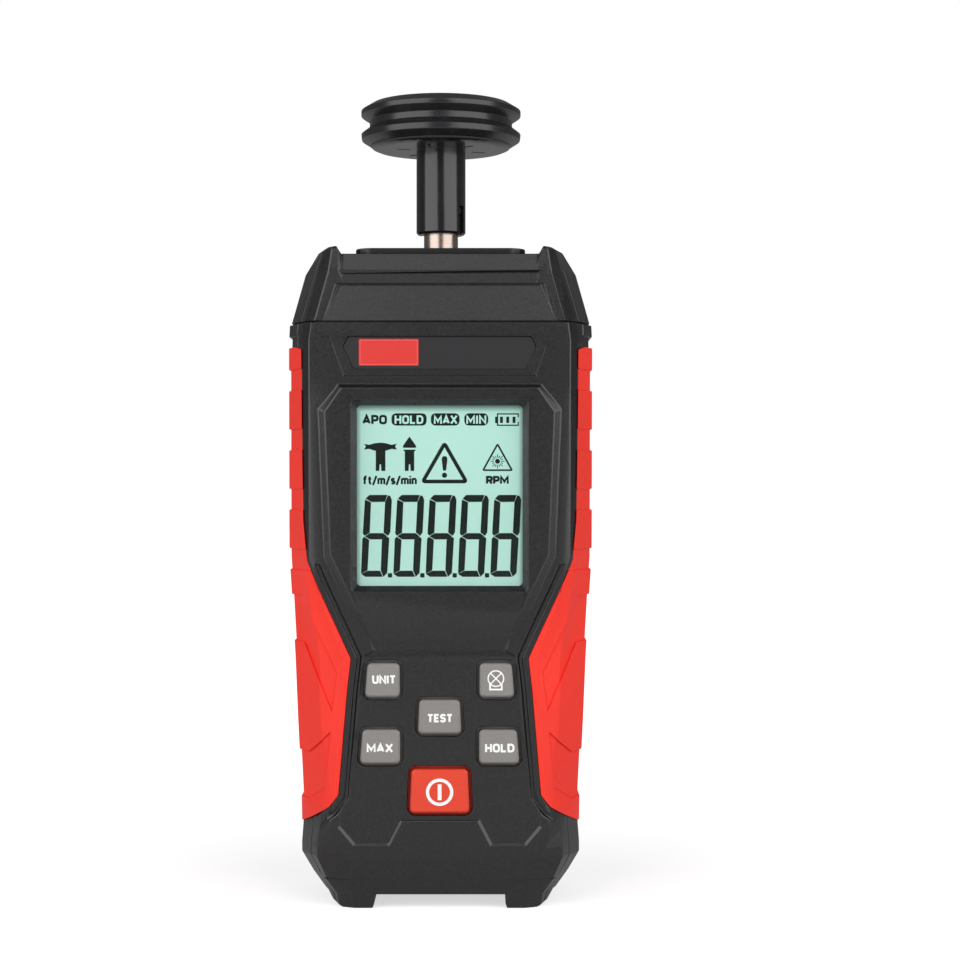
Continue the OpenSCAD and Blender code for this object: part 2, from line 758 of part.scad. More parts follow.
// Crystal, two capacitors, a sounder and a regulator on the back of the board
can_r = 2.6;
sounder_r = 4.5;
part_t = 3.6;
module board_parts() {
    back = board_back + seat;
    color("silver") {
        bar(-0.36 * half_w, 0.60 * case_h, can_r, back, back + part_t);
        bar(0.36 * half_w, 0.60 * case_h, can_r, back, back + part_t);
        bar(-0.4 * half_w, 0.71 * case_h, sounder_r, back, back + part_t);
        slab(box_outline(chip_w, chip_z + 1.25 * chip_w, chip_z + 1.6 * chip_w), back,
            back + part_t);
        translate([0.4 * half_w, 0, 0])
            slab(box_outline(chip_w / 2, chip_z, chip_z + chip_w / 2), back, back + chip_t);
    }
}
module key_switches() {
    color("black") for (key = keys)
        difference() {
            translate([key[1], 0, 0])
                slab(box_outline(switch_w, key[2] - switch_w / 2, key[2] + switch_w / 2),
                    board_y - seat - switch_t, board_y - seat);
            bar(key[1], key[2], stem_r + stem_gap, -far, board_y);
        }
}
// Key cap with a flange behind the wall and a stem in its switch
module key_cap(key) {
    outline = key_outline(key);
    crown = 0.35;
    flange_y = inner_y + seat;
    bevelled(rounded(outline, key_corner), field_y - key_proud + crown,
        rounded(inset(outline, crown), key_corner - crown / 2), field_y - key_proud);
    slab(rounded(outline, key_corner), field_y - key_proud + crown, flange_y + flange_t);
    slab(rounded(inset(outline, -flange_w), key_corner), flange_y, flange_y + flange_t);
    bar(key[1], key[2], stem_r, flange_y, board_y - key_travel - 2 * seat);
}
module button_unit() {
    color("gray") key_cap(keys[0]);
}
module button_lamp() {
    color("gray") key_cap(keys[1]);
}
module button_test() {
    color("gray") key_cap(keys[2]);
}
module button_max() {
    color("gray") key_cap(keys[3]);
}
module button_hold() {
    color("gray") key_cap(keys[4]);
}
module button_power() {
    color("orangered") key_cap(keys[5]);
}

module bearing_block() {
    z1 = top_z - head_wall - roof_gap / 3;
    tab_r = post_r + boss_wall;
    color("slategray") difference() {
        union() {
            translate([0, 0, lower_z]) cylinder(r = block_r, h = z1 - lower_z, $fn = round_fn);
            slab(rounded(box_outline(2 * (tab_x + tab_r), tab_z - tab_r, tab_z + tab_r), tab_r / 2),
                tab_y, tab_y + tab_t);
        }
        translate([0, 0, lower_z - over])
            cylinder(r = bearing_d / 2 + running, h = bearing_h + over, $fn = round_fn);
        translate([0, 0, upper_z])
            cylinder(r = bearing_d / 2 + running, h = far, $fn = round_fn);
        cylinder(r = bearing_d / 2 - 3 / 4 * block_wall, h = far, $fn = round_fn);
        both_sides() bar(tab_x, tab_z, small_screw_r + seat, -far, far);
    }
}
// Ball bearing as one ring, with the step between its races on both faces
module bearing(z) {
    r0 = journal_d / 2 + running;
    r1 = bearing_d / 2;
    race = (r1 - r0) / 4;
    step = bearing_h / 10;
    color("silver") translate([0, 0, z]) rotate_extrude($fn = round_fn) polygon([
        [r0, 0], [r0 + race, 0], [r0 + race, step], [r1 - race, step], [r1 - race, 0],
        [r1, 0], [r1, bearing_h], [r1 - race, bearing_h], [r1 - race, bearing_h - step],
        [r0 + race, bearing_h - step], [r0 + race, bearing_h], [r0, bearing_h]]);
}
module upper_bearing() {
    bearing(upper_z);
}
module lower_bearing() {
    bearing(lower_z);
}
pin_angle = -31;
slot_l = 5.6;
pin_z = sleeve_z + slot_l - pin_d / 2 - 2 * seat;
pin_inset = 0.6;
slot_w = pin_d + 4 * seat;
clip_bite = 0.5;
clip_rim = 1.3;
module drive_shaft() {
    groove_r = journal_d / 2 - clip_bite;
    tip = 0.6;
    color("silver") difference() {
        rotate_extrude($fn = round_fn) polygon([
            [0, shaft_bottom], [journal_d / 2, shaft_bottom], [journal_d / 2, clip_z - seat],
            [groove_r, clip_z - seat], [groove_r, clip_z + clip_h + seat / 2],
            [journal_d / 2, clip_z + clip_h + seat / 2], [journal_d / 2, shoulder_z],
            [shaft_d / 2, shoulder_z], [shaft_d / 2, shaft_top - tip],
            [shaft_d / 2 - tip, shaft_top], [0, shaft_top]]);
        translate([0, 0, pin_z]) rotate([0, 90, pin_angle])
            cylinder(r = pin_d / 2 + seat / 2, h = shaft_d * 2, center = true, $fn = small_fn);
    }
}
module drive_pin() {
    color("dimgray") translate([0, 0, pin_z]) rotate([0, 90, pin_angle])
        cylinder(r = pin_d / 2, h = sleeve_d - 2 * pin_inset, center = true, $fn = small_fn);
}
module shaft_clip() {
    color("dimgray") translate([0, 0, clip_z]) difference() {
        cylinder(r = journal_d / 2 + clip_rim, h = clip_h - seat / 2, $fn = round_fn);
        translate([0, 0, -over]) cylinder(r = journal_d / 2 - clip_bite + seat,
            h = clip_h + 2 * over, $fn = round_fn);
        translate([-far, -journal_d / 4, -over]) cube([far, journal_d / 2, clip_h + 2 * over]);
    }
}
module encoder_disc() {
    disc_rim = 0.8;
    slot_run = 2.6;
    hub_wall = 1.6;
    slot_out = disc_d / 2 - disc_rim;
    slot_in = slot_out - slot_run;
    color("black") difference() {
        union() {
            translate([0, 0, disc_z]) cylinder(r = disc_d / 2, h = disc_t, $fn = round_fn);
            translate([0, 0, disc_z])
                cylinder(r = journal_d / 2 + hub_wall, h = disc_hub_h, $fn = round_fn);
        }
        translate([0, 0, disc_z - over])
            cylinder(r = journal_d / 2 + seat / 2, h = far, $fn = round_fn);
        for (k = [0:disc_slots - 1])
            rotate([0, 0, (k + 0.5) * 360 / disc_slots])
                translate([slot_in, -disc_d * 0.05, disc_z - over])
                cube([slot_out - slot_in, disc_d * 0.1 * 12 / disc_slots, disc_t + 2 * over]);
    }
}
// Light barrier astride the edge of the disc, carried by the upright sensor board
barrier_gap = 0.8;
barrier_bite = 2.2;
barrier_x = disc_d / 2 - barrier_bite;
barrier_w = 4;
leg_t = 1.5;
sensor_gap = 4;
sensor_x = disc_d / 2 + sensor_gap;
module light_barrier() {
    z0 = disc_z - barrier_gap - leg_t;
    z1 = disc_z + disc_t + barrier_gap + leg_t;
    color("black") difference() {
        block([barrier_x, -barrier_w / 2, z0], [sensor_x - seat, barrier_w / 2, z1]);
        block([0, -far, z0 + leg_t], [disc_d / 2 + barrier_gap, far, z1 - leg_t]);
    }
}
sensor_h = 10;
sensor_d = 10;
sensor_room = 0.6;
sensor_y = board_back + sensor_room;
sensor_z = disc_z + disc_t / 2 - 0.58 * sensor_h;
module sensor_board() {
    color("darkgreen")
        block([sensor_x, sensor_y, sensor_z],
            [sensor_x + board_t / 2, sensor_d / 2, sensor_z + sensor_h]);
}
// Angled header from the sensor board to the main board
module board_connector() {
    w = 2.4;
    color("black")
        block([sensor_x - w - seat, board_back + seat, min(board_z1 - 2 * w, sensor_z)],
            [sensor_x - seat, sensor_y + w, max(board_z1, sensor_z + w)]);
}

// Wheel: the hub with its sleeve, which slides on the shaft, and a rubber tyre
wheel_z = sleeve_z + sleeve_l;
flange_h = 0.9;
tyre_z = wheel_z + flange_h;
tread_r = wheel_d / 2;
tyre_t = 2.8;
rim_r = tread_r - tyre_t;
// Rounded edge of the flange, from its underside up: way in from the rim as a share of
// the tyre's thickness, then height as a share of the flange's
flange_shares = [[1.55, 0], [1.07, 0.17], [0.79, 0.55], [0.68, 1]];
// Tread from its lower edge up: depth as a share of the groove, height of the tyre's
tread_shares = [
    [1.06, 0], [0.08, 0.13], [0, 0.27], [1, 0.43], [1, 0.58], [0, 0.72], [0, 0.84], [1.28, 1]
];
module wheel_hub() {
    bore_r = shaft_d / 2 + running;
    sleeve_r = sleeve_d / 2;
    edge = 0.4;
    web_z = wheel_z + 0.32 * tyre_h;
    rim_z = tyre_z + tyre_h - seat;
    rim_t = 1.8;
    cap_z = rim_z - rim_t / 2;
    vent_w = 0.7;
    color("black") difference() {
        rotate_extrude($fn = 96) polygon(concat(
            [[0, sleeve_z], [sleeve_r - edge, sleeve_z], [sleeve_r, sleeve_z + edge],
            [sleeve_r, wheel_z]],
            [for (s = flange_shares)
                [tread_r - s[0] * tyre_t, wheel_z + s[1] * (flange_h - seat)]],
            [[rim_r, tyre_z - seat], [rim_r, rim_z], [rim_r - rim_t, rim_z],
            [rim_r - 1.2 * rim_t, web_z], [sleeve_r + 2 * edge, web_z],
            [sleeve_r + edge, cap_z], [0, cap_z]]));
        translate([0, 0, sleeve_z - over])
            cylinder(r = bore_r, h = shaft_reach + over + seat, $fn = round_fn);
        // Slots that take the cross pin
        translate([0, 0, sleeve_z + slot_l / 2 - over]) rotate([0, 0, pin_angle])
            cube([2 * sleeve_d, slot_w, slot_l + 2 * over], center = true);
        // Short slots in the underside
        for (k = [0:5])
            rotate([0, 0, 15 + k * 60])
                translate([0.4 * tread_r, -vent_w / 2, wheel_z - over])
                cube([0.17 * tread_r, vent_w, 2 * over]);
    }
}
module wheel_tyre() {
    inner = rim_r + seat / 2;
    color([0.12, 0.12, 0.12]) translate([0, 0, tyre_z]) rotate_extrude($fn = 96) polygon(concat(
        [[inner, 0]],
        [for (s = tread_shares) [tread_r - s[0] * tyre_groove, s[1] * tyre_h]],
        [[inner, tyre_h]]));
}

// Cell with its insulating sleeve's ends, a rounded shoulder and the nub of its pole
module cell(x, up) {
    r = cell_d / 2;
    nub_r = 1.9;
    nub_h = 0.9;
    base_h = 0.3;
    shoulder = 0.5;
    body_l = cell_l - nub_h;
    color("goldenrod") translate([x, cell_y, cell_z + cell_l / 2]) rotate([up ? 0 : 180, 0, 0])
        rotate_extrude($fn = round_fn) translate([0, -cell_l / 2]) polygon([
            [0, 0], [r - shoulder, 0], [r - shoulder, base_h], [r, base_h],
            [r, body_l - shoulder], [r - shoulder, body_l], [nub_r, body_l],
            [nub_r, cell_l], [0, cell_l]]);
}
module battery_left() {
    cell(-cell_pitch, true);
}
module battery_middle() {
    cell(0, false);
}
module battery_right() {
    cell(cell_pitch, true);
}
// Leaf springs under the negative ends and bridge plates at the positive ends
module contact_springs() {
    w = 0.7 * cell_d;
    color("silver") for (k = [-1:1])
        translate([k * cell_pitch, cell_y, 0])
            if (k == 0)
                leaf(w, tray_z1 - seat, cell_z + cell_l + seat);
            else
                leaf(w, tray_z0 + seat, cell_z - seat);
}
// Leaf that runs from its foot at z0 to the cell's end at z1
module leaf(w, z0, z1) {
    t = plate_t;
    s = z1 > z0 ? 1 : -1;
    run = abs(z1 - z0) - t;
    translate([w / 2, 0, z0]) rotate([0, -90, 0]) linear_extrude(w) polygon(
        s > 0 ? leaf_outline(w, run, t) : [for (p = leaf_outline(w, run, t)) [-p[0], p[1]]]);
}
function leaf_outline(w, run, t) = [
    [0, -w / 2], [t, -w / 2], [t, w / 2 - 2 * t], [run, 0], [run + t, 0],
    [run + t, t], [run, t], [t, w / 2 - t / 2], [0, w / 2]];
module contact_plates() {
    w = 0.7 * cell_d;
    color("silver") {
        for (k = [-1, 1])
            block([k * cell_pitch - w / 2, cell_y - w / 2, cell_z + cell_l + seat],
                [k * cell_pitch + w / 2, cell_y + w / 2, tray_z1 - seat]);
        block([-w / 2, cell_y - w / 2, tray_z0 + seat], [w / 2, cell_y + w / 2, cell_z - seat]);
    }
}
module battery_door() {
    rib_w = 0.8;
    rib_h = 0.9;
    rib_l = tray_z1 - tray_z0 - 2 * spring_l;
    ridge_count = 5;
    ridge_w = 0.7;
    ridge_sink = 0.5;
    ridge_pitch = 1.6;
    ridge_z = door_z1 - 9 / 7 * door_tongue;
    color("dimgray") difference() {
        union() {
            slab(rounded(box_outline(door_w, door_z0, door_z1), door_lip),
                back_y - door_t + seat, back_y);
            for (x = [-0.5, 0.5])
                translate([x * cell_pitch - rib_w / 2, back_y - door_t - rib_h + over,
                    tray_z0 + spring_l])
                    cube([rib_w, rib_h, rib_l]);
        }
        bar(0, door_screw_z, screw_r + seat, -far, far);
        bar(0, door_screw_z, head_r + seat, back_y - door_t + door_floor, far);
        // Finger ridges near the upper edge
        for (k = [0:ridge_count - 1])
            translate([-door_w / 5, back_y - ridge_sink, ridge_z - ridge_pitch * k])
                cube([2 / 5 * door_w, 2 * ridge_sink, ridge_w]);
    }
}
module door_screw() {
    y = back_y - door_t + door_floor + seat;
    color("silver") screw(0, door_screw_z, y, screw_r - seat, y - tray_y - cell_d / 2,
        head_r - seat, back_y - y - 4 * seat);
}
module case_screws() {
    color("silver") both_sides() for (p = case_screw_places)
        screw(p[0], p[1], screw_head_y + seat, screw_r - seat,
            screw_head_y - inner_y - tip_gap, head_r - seat, large_head_t);
}
module head_screws() {
    color("silver") both_sides()
        screw(head_screw_place[0], head_screw_place[1], head_screw_y + seat, screw_r - seat,
            head_screw_y - head_screw_tip, head_r - seat, large_head_t);
}
module board_screws() {
    color("silver") both_sides() for (p = post_places)
        screw(p[0], p[1], board_back + seat, small_screw_r - seat,
            board_back - inner_y - tip_gap, post_r - seat, small_head_t);
}
module block_screws() {
    color("silver") both_sides() mirror([0, 1, 0])
        screw(tab_x, tab_z, -tab_y + seat, small_screw_r - seat,
            back_y - skin_t - tab_y - tip_gap, post_r - seat, small_head_t);
}

front_housing();
rear_housing();
head_front();
head_rear();
collar_plate();
grip_left();
grip_right();
badge_plate();
display_window();
lcd_panel();
backlight();
lcd_holder();
contact_strips();
main_board();
controller_chip();
board_parts();
key_switches();
button_unit();
button_lamp();
button_test();
button_max();
button_hold();
button_power();
bearing_block();
upper_bearing();
lower_bearing();
drive_shaft();
drive_pin();
shaft_clip();
encoder_disc();
light_barrier();
sensor_board();
board_connector();
wheel_hub();
wheel_tyre();
battery_left();
battery_middle();
battery_right();
contact_springs();
contact_plates();
battery_door();
door_screw();
case_screws();
head_screws();
board_screws();
block_screws();
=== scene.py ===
"""Contact tachometer with a surface-speed wheel: looks, stage and camera.

Lengths in the tables are millimetres in the part's frame: Z up along the shaft, X to the
right of the display, the display facing -Y, the origin on the standing surface.
"""
import json
import math

import bmesh
import bpy
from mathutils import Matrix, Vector
from mathutils.bvhtree import BVHTree
from mathutils.geometry import intersect_point_line


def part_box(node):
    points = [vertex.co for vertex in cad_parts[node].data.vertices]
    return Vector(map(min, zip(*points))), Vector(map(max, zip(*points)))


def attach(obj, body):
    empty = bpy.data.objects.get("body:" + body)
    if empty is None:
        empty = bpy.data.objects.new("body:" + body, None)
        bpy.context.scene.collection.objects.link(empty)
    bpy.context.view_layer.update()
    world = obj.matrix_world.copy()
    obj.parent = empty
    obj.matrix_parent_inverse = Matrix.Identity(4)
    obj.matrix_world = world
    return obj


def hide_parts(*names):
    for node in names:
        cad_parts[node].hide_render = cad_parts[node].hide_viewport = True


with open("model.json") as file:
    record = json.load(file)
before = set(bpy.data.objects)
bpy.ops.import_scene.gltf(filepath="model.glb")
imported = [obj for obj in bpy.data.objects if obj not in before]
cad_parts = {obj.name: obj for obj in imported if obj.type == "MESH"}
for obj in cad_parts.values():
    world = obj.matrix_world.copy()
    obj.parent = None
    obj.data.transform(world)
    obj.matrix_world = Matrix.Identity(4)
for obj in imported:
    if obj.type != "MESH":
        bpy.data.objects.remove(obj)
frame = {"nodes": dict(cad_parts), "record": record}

bl_info = {
    "name": "Contact tachometer",
    "version": (1, 0, 0),
    "blender": (4, 5, 0),
    "location": "3D View > Sidebar > Tachometer",
    "description": "Dresses the packed tachometer with its finishes, display and stage",
    "category": "Object",
}

MM = 0.001
BODY_OF = {node: body for body, nodes in frame["record"]["behaviour"]["bodies"].items()
           for node in nodes}
SLOT_OF = {part["node"]: part["material_slot"] for part in frame["record"]["subparts"]}


# Shader maths

class Field:
    """A shader socket whose Python operators add Math nodes."""

    def __init__(self, shade, socket):
        self.shade, self.socket = shade, socket

    def _math(self, operation, *terms):
        return self.shade.node("ShaderNodeMath", {"operation": operation},
                               dict(enumerate(terms)))

    def size(self):
        return self._math("ABSOLUTE", self)

    def sine(self):
        return self._math("SINE", self)

    def ramp(self, low, high):
        """0 below low and 1 above high."""
        return self.shade.node("ShaderNodeMapRange", {"clamp": True},
                               {0: self, 1: low, 2: high, 3: 0.0, 4: 1.0})


def give_operators():
    """Adds the Python operators of Field, each with its reflected form."""
    def forward(operation):
        return lambda self, other: self._math(operation, self, other)

    def reflected(operation):
        return lambda self, other: self._math(operation, other, self)

    for sign, operation in (("add", "ADD"), ("sub", "SUBTRACT"), ("mul", "MULTIPLY"),
                            ("truediv", "DIVIDE")):
        setattr(Field, f"__{sign}__", forward(operation))
        setattr(Field, f"__r{sign}__", reflected(operation))
    for sign, operation in (("__gt__", "GREATER_THAN"), ("__lt__", "LESS_THAN"),
                            ("most", "MAXIMUM")):
        setattr(Field, sign, forward(operation))


give_operators()


def wired(tree, kinds, links, **operations):
    """Refills a node tree: kinds by name, then links as node, output, node, input."""
    tree.nodes.clear()
    nodes = {name: tree.nodes.new(kind) for name, kind in kinds.items()}
    for name, operation in operations.items():
        nodes[name].operation = operation
    for source, output, target, entry in links:
        tree.links.new(nodes[source].outputs[output], nodes[target].inputs[entry])
    return nodes


class Shade:
    """A material's node tree with one Principled shader."""

    def __init__(self, name, **fixed):
        self.material = bpy.data.materials.new(name)
        self.material.use_nodes = True
        self.tree = self.material.node_tree
        nodes = wired(self.tree, {"principled": "ShaderNodeBsdfPrincipled",
                                  "out": "ShaderNodeOutputMaterial"},
                      [("principled", 0, "out", "Surface")])
        self.principled, self.out = nodes["principled"], nodes["out"]
        for socket, value in fixed.items():
            label = socket.replace("_", " ").title().replace("Ior", "IOR")
            self.principled.inputs[label].default_value = value

    def node(self, kind, settings, inputs, output=0):
        """A node with its settings and inputs, as the field of one output."""
        made = self.tree.nodes.new(kind)
        for key, value in settings.items():
            setattr(made, key, value)
        for key, value in inputs.items():
            socket = made.inputs[key]
            if isinstance(value, Field):
                self.tree.links.new(value.socket, socket)
            else:
                socket.default_value = value
        return Field(self, made.outputs[output])

    def where(self, scale=(1, 1, 1)):
        """Object coordinates in millimetres, scaled."""
        raw = self.node("ShaderNodeTexCoord", {}, {}, "Object")
        return self.node("ShaderNodeMapping", {}, {0: raw, 3: [s / MM for s in scale]})

    def axes(self, at):
        """The three coordinates of a place."""
        made = self.tree.nodes.new("ShaderNodeSeparateXYZ")
        self.tree.links.new(at.socket, made.inputs[0])
        return [Field(self, socket) for socket in made.outputs]

    def noise(self, at, scale, detail=2.0, roughness=0.5):
        return self.node("ShaderNodeTexNoise", {}, {
            "Vector": at, "Scale": scale, "Detail": detail, "Roughness": roughness})

    def pits(self, at, scale):
        """Distance to the nearest of many scattered points."""
        return self.node("ShaderNodeTexVoronoi", {}, {"Vector": at, "Scale": scale})

    def mix(self, factor, *colours):
        """Blend of two colours."""
        first, second = [colour if isinstance(colour, Field) else (*colour, 1)
                         for colour in colours]
        return self.node("ShaderNodeMix", {"data_type": "RGBA"},
                         {0: factor, 6: first, 7: second}, 2)

    def bump(self, height, strength, depth):
        return self.node("ShaderNodeBump", {}, {
            "Height": height, "Strength": strength, "Distance": depth * MM})

    def feed(self, **fields):
        """The material, with fields linked to inputs of its Principled shader."""
        for socket, field in fields.items():
            self.tree.links.new(field.socket,
                                self.principled.inputs[socket.replace("_", " ").title()])
        return self.material


def lin(*srgb):
    """Linear colour of 0-255 screen values."""
    return tuple(v / 255 / 12.92 if v / 255 <= 0.04045 else ((v / 255 + 0.055) / 1.055) ** 2.4
                 for v in srgb)


# Finishes

def moulded(name, colour, grain=0.30, rough=0.5, depth=0.03, scuff=0.12, shine=0.4):
    """Injection-moulded plastic: spark-eroded grain, faint flow shading and handling."""
    shade = Shade(name, ior=1.5, specular_ior_level=shine)
    at = shade.where()
    fine = shade.noise(at, 1 / grain, 3.0, 0.65)
    cells = shade.pits(at, 1.3 / grain)
    drift = shade.noise(at, 0.035, 2.0)
    handled = shade.noise(at, 0.16, 4.0, 0.62).ramp(0.52, 0.72)
    tone = shade.mix(fine.ramp(0.35, 0.65) * 0.8 + drift * 0.2,
                     [c * (1 - scuff) for c in colour], [c * (1 + scuff) for c in colour])
    tone = shade.mix(handled * 0.05, tone, [min(1, c * 1.5 + 0.006) for c in colour])
    return shade.feed(
        base_color=tone,
        roughness=(rough - 0.05) + fine * 0.10 - handled * 0.02,
        normal=shade.bump(fine * 0.8 + cells * 0.5, 0.4, depth))


def soft_rubber(name, colour, rough=0.42, depth=0.006):
    """Smooth overmoulded elastomer: satin, with a faint orange peel and dusting."""
    shade = Shade(name, ior=1.46, specular_ior_level=0.2)
    at = shade.where()
    peel = shade.noise(at, 2.2, 2.0, 0.5)
    drift = shade.noise(at, 0.05, 3.0)
    dust = shade.noise(at, 0.6, 5.0, 0.7).ramp(0.55, 0.8)
    tone = shade.mix(drift.ramp(0.3, 0.7), [c * 0.95 for c in colour],
                     [min(1, c * 1.04) for c in colour])
    tone = shade.mix(dust * 0.04, tone, [min(1, 0.9 * c + 0.04) for c in colour])
    return shade.feed(base_color=tone, roughness=(rough - 0.04) + peel * 0.06 + dust * 0.06,
                      normal=shade.bump(peel, 0.35, depth))


def glossy_black(name, colour, rough=0.16):
    """Polished black moulding of the wheel's hub and sleeve."""
    shade = Shade(name, ior=1.52)
    at = shade.where()
    waves = shade.noise(at, 0.35, 1.0)
    specks = shade.noise(at, 6.0, 2.0, 0.6).ramp(0.62, 0.75)
    tone = shade.mix(waves, colour, [c * 1.25 for c in colour])
    return shade.feed(base_color=tone, roughness=rough + waves * 0.06 + specks * 0.10,
                      normal=shade.bump(waves * 0.8 + specks * 0.2, 0.25, 0.02))


def tyre_rubber(name, colour):
    """Ground rubber tread: satin, with fine turning lines round the axis."""
    shade = Shade(name, ior=1.5)
    at = shade.where()
    z = shade.axes(at)[2]
    lines = (z * 16.0 + shade.noise(at, 0.4) * 2.0).sine() * 0.5 + 0.5
    fine = shade.noise(at, 5.0, 3.0, 0.6)
    worn = shade.noise(at, 0.3, 3.0).ramp(0.5, 0.7)
    tone = shade.mix(fine * 0.5 + worn * 0.5, colour, [c * 1.6 for c in colour])
    return shade.feed(base_color=tone, roughness=0.20 + fine * 0.10 + worn * 0.06,
                      normal=shade.bump(lines * 0.3 + fine * 0.4, 0.3, 0.008))


def plated(name, colour, rough=0.22, spacing=9.0, depth=0.006):
    """Turned and plated metal with fine rings across the shaft's axis."""
    shade = Shade(name, metallic=1.0)
    at = shade.where()
    rings = shade.noise(shade.where(scale=(0.02, 0.02, 1)), spacing, 3.0, 0.6)
    cloud = shade.noise(at, 0.5, 3.0)
    tone = shade.mix(cloud.ramp(0.3, 0.8), colour, [c * 0.82 for c in colour])
    return shade.feed(base_color=tone, roughness=(rough - 0.06) + rings * 0.12 + cloud * 0.04,
                      normal=shade.bump(rings, 0.5, depth))


def zinc(name, colour, rough=0.32):
    """Zinc- or nickel-plated steel of screws, springs and rings."""
    shade = Shade(name, metallic=1.0)
    at = shade.where()
    brushed = shade.noise(shade.where(scale=(1, 0.15, 1)), 3.0, 3.0, 0.6)
    cloud = shade.noise(at, 0.8, 2.0)
    tone = shade.mix(cloud, colour, [c * 0.78 for c in colour])
    return shade.feed(base_color=tone, roughness=(rough - 0.05) + brushed * 0.16,
                      normal=shade.bump(brushed, 0.3, 0.005))


def clear_pane(name, ior=1.49):
    """Clear acrylic, a clear coat over light that passes straight through."""
    # The Principled shader isn't linked here. It only keeps the plastic's plain values.
    shade = Shade(name, roughness=0.03, ior=ior, transmission_weight=1.0)
    haze = shade.noise(shade.where(), 0.4, 2.0)
    facing = shade.node("ShaderNodeFresnel", {}, {"IOR": 1.45})
    clear = shade.node("ShaderNodeBsdfTransparent", {}, {})
    gloss = shade.node("ShaderNodeBsdfGlossy", {}, {"Roughness": 0.04})
    both = shade.node("ShaderNodeMixShader", {},
                      {0: facing * (0.55 + haze * 0.1), 1: clear, 2: gloss})
    shade.tree.links.new(both.socket, shade.out.inputs["Surface"])
    return shade.material


def liquid_crystal(name, colour, edge, centre, half):
    """Display: pale and faintly mottled, with painted shade along its sides and top where the
    bezel would shade it, and a faint painted glow.
    """
    # The emission is a painted glow that brightens the display in its recess. It carries the same
    # painted shade as the colour.
    shade = Shade(name, roughness=0.32, ior=1.5, specular_ior_level=0.2, emission_strength=0.26)
    at = shade.where()
    x, _, z = shade.axes(at)
    side = ((x - centre[0]).size() / half[0]).ramp(0.96, 1.0)
    top = ((z - centre[1]) / half[1]).ramp(0.93, 1.0)
    mottle = shade.noise(at, 0.05, 2.0)
    sparkle = shade.noise(at, 9.0, 1.0)
    # Painted shade: darker towards the sides and the top, where the bezel would cast its shade
    shadow = (side * 0.5).most(top * 0.9)
    tone = shade.mix(mottle, [c * 0.97 for c in colour], [c * 1.03 for c in colour])
    tone = shade.mix(sparkle * 0.06, tone, [c * 0.9 for c in colour])
    tone = shade.mix(shadow, tone, edge)
    return shade.feed(base_color=tone, emission_color=tone)


def printed(name, colour, rough=0.45, shine=0.5):
    """Screen-printed ink: dense, with a faintly uneven film."""
    shade = Shade(name, ior=1.5, specular_ior_level=shine)
    at = shade.where()
    coat = shade.noise(at, 3.0, 3.0, 0.6)
    tone = shade.mix(coat.ramp(0.35, 0.75), colour, [c * 0.93 for c in colour])
    return shade.feed(base_color=tone, roughness=(rough - 0.05) + coat * 0.1)


def circuit_board(name, mask, copper):
    """Green solder mask with tracks and pads under it."""
    shade = Shade(name, ior=1.5)
    at = shade.where()
    x, _, z = shade.axes(at)
    wander = shade.noise(shade.where(scale=(0.25, 0.25, 0.25)), 0.5, 0.0)
    tracks = (x * 2.6 + wander * 22.0).sine() > 0.55
    zone = shade.noise(at, 0.09, 1.0) > 0.5
    pads = shade.pits(at, 0.28) < 0.22
    tone = shade.mix(tracks * zone * 0.55, mask, [m * 2.1 for m in mask])
    tone = shade.mix(pads, tone, copper)
    weave = (x * 5.0).sine() * (z * 5.0).sine() * 0.5 + 0.5
    return shade.feed(base_color=tone, roughness=0.36 + pads * 0.05,
                      normal=shade.bump(tracks * 0.7 + weave * 0.2, 0.4, 0.03))


def cell_jacket(name, colour, band, low, high):
    """Printed battery jacket: a plain body with a pale band at each end, bare metal caps."""
    shade = Shade(name, ior=1.45)
    at = shade.where()
    along = (shade.axes(at)[2] - low) / (high - low)
    middle = (along - 0.5).size()
    stripe = middle.ramp(0.36, 0.365)
    cap = middle.ramp(0.478, 0.48)
    coat = shade.noise(at, 1.2, 3.0)
    tone = shade.mix(stripe, colour, band)
    tone = shade.mix(cap, tone, (0.6, 0.6, 0.6))
    return shade.feed(base_color=tone, metallic=cap * 0.9 + (1 - cap) * 0.25,
                      roughness=0.28 + coat * 0.14)


def conductive_rubber(name, colour, dark):
    """Layered strip that joins display and board: fine dark layers in pink silicone."""
    shade = Shade(name, ior=1.42)
    at = shade.where()
    layers = (shade.axes(at)[0] * 14.0).sine().ramp(0.2, 0.6)
    tone = shade.mix(layers, colour, dark)
    return shade.feed(base_color=tone, roughness=0.5 + shade.noise(at, 2.0) * 0.15)


FINISHES = {}


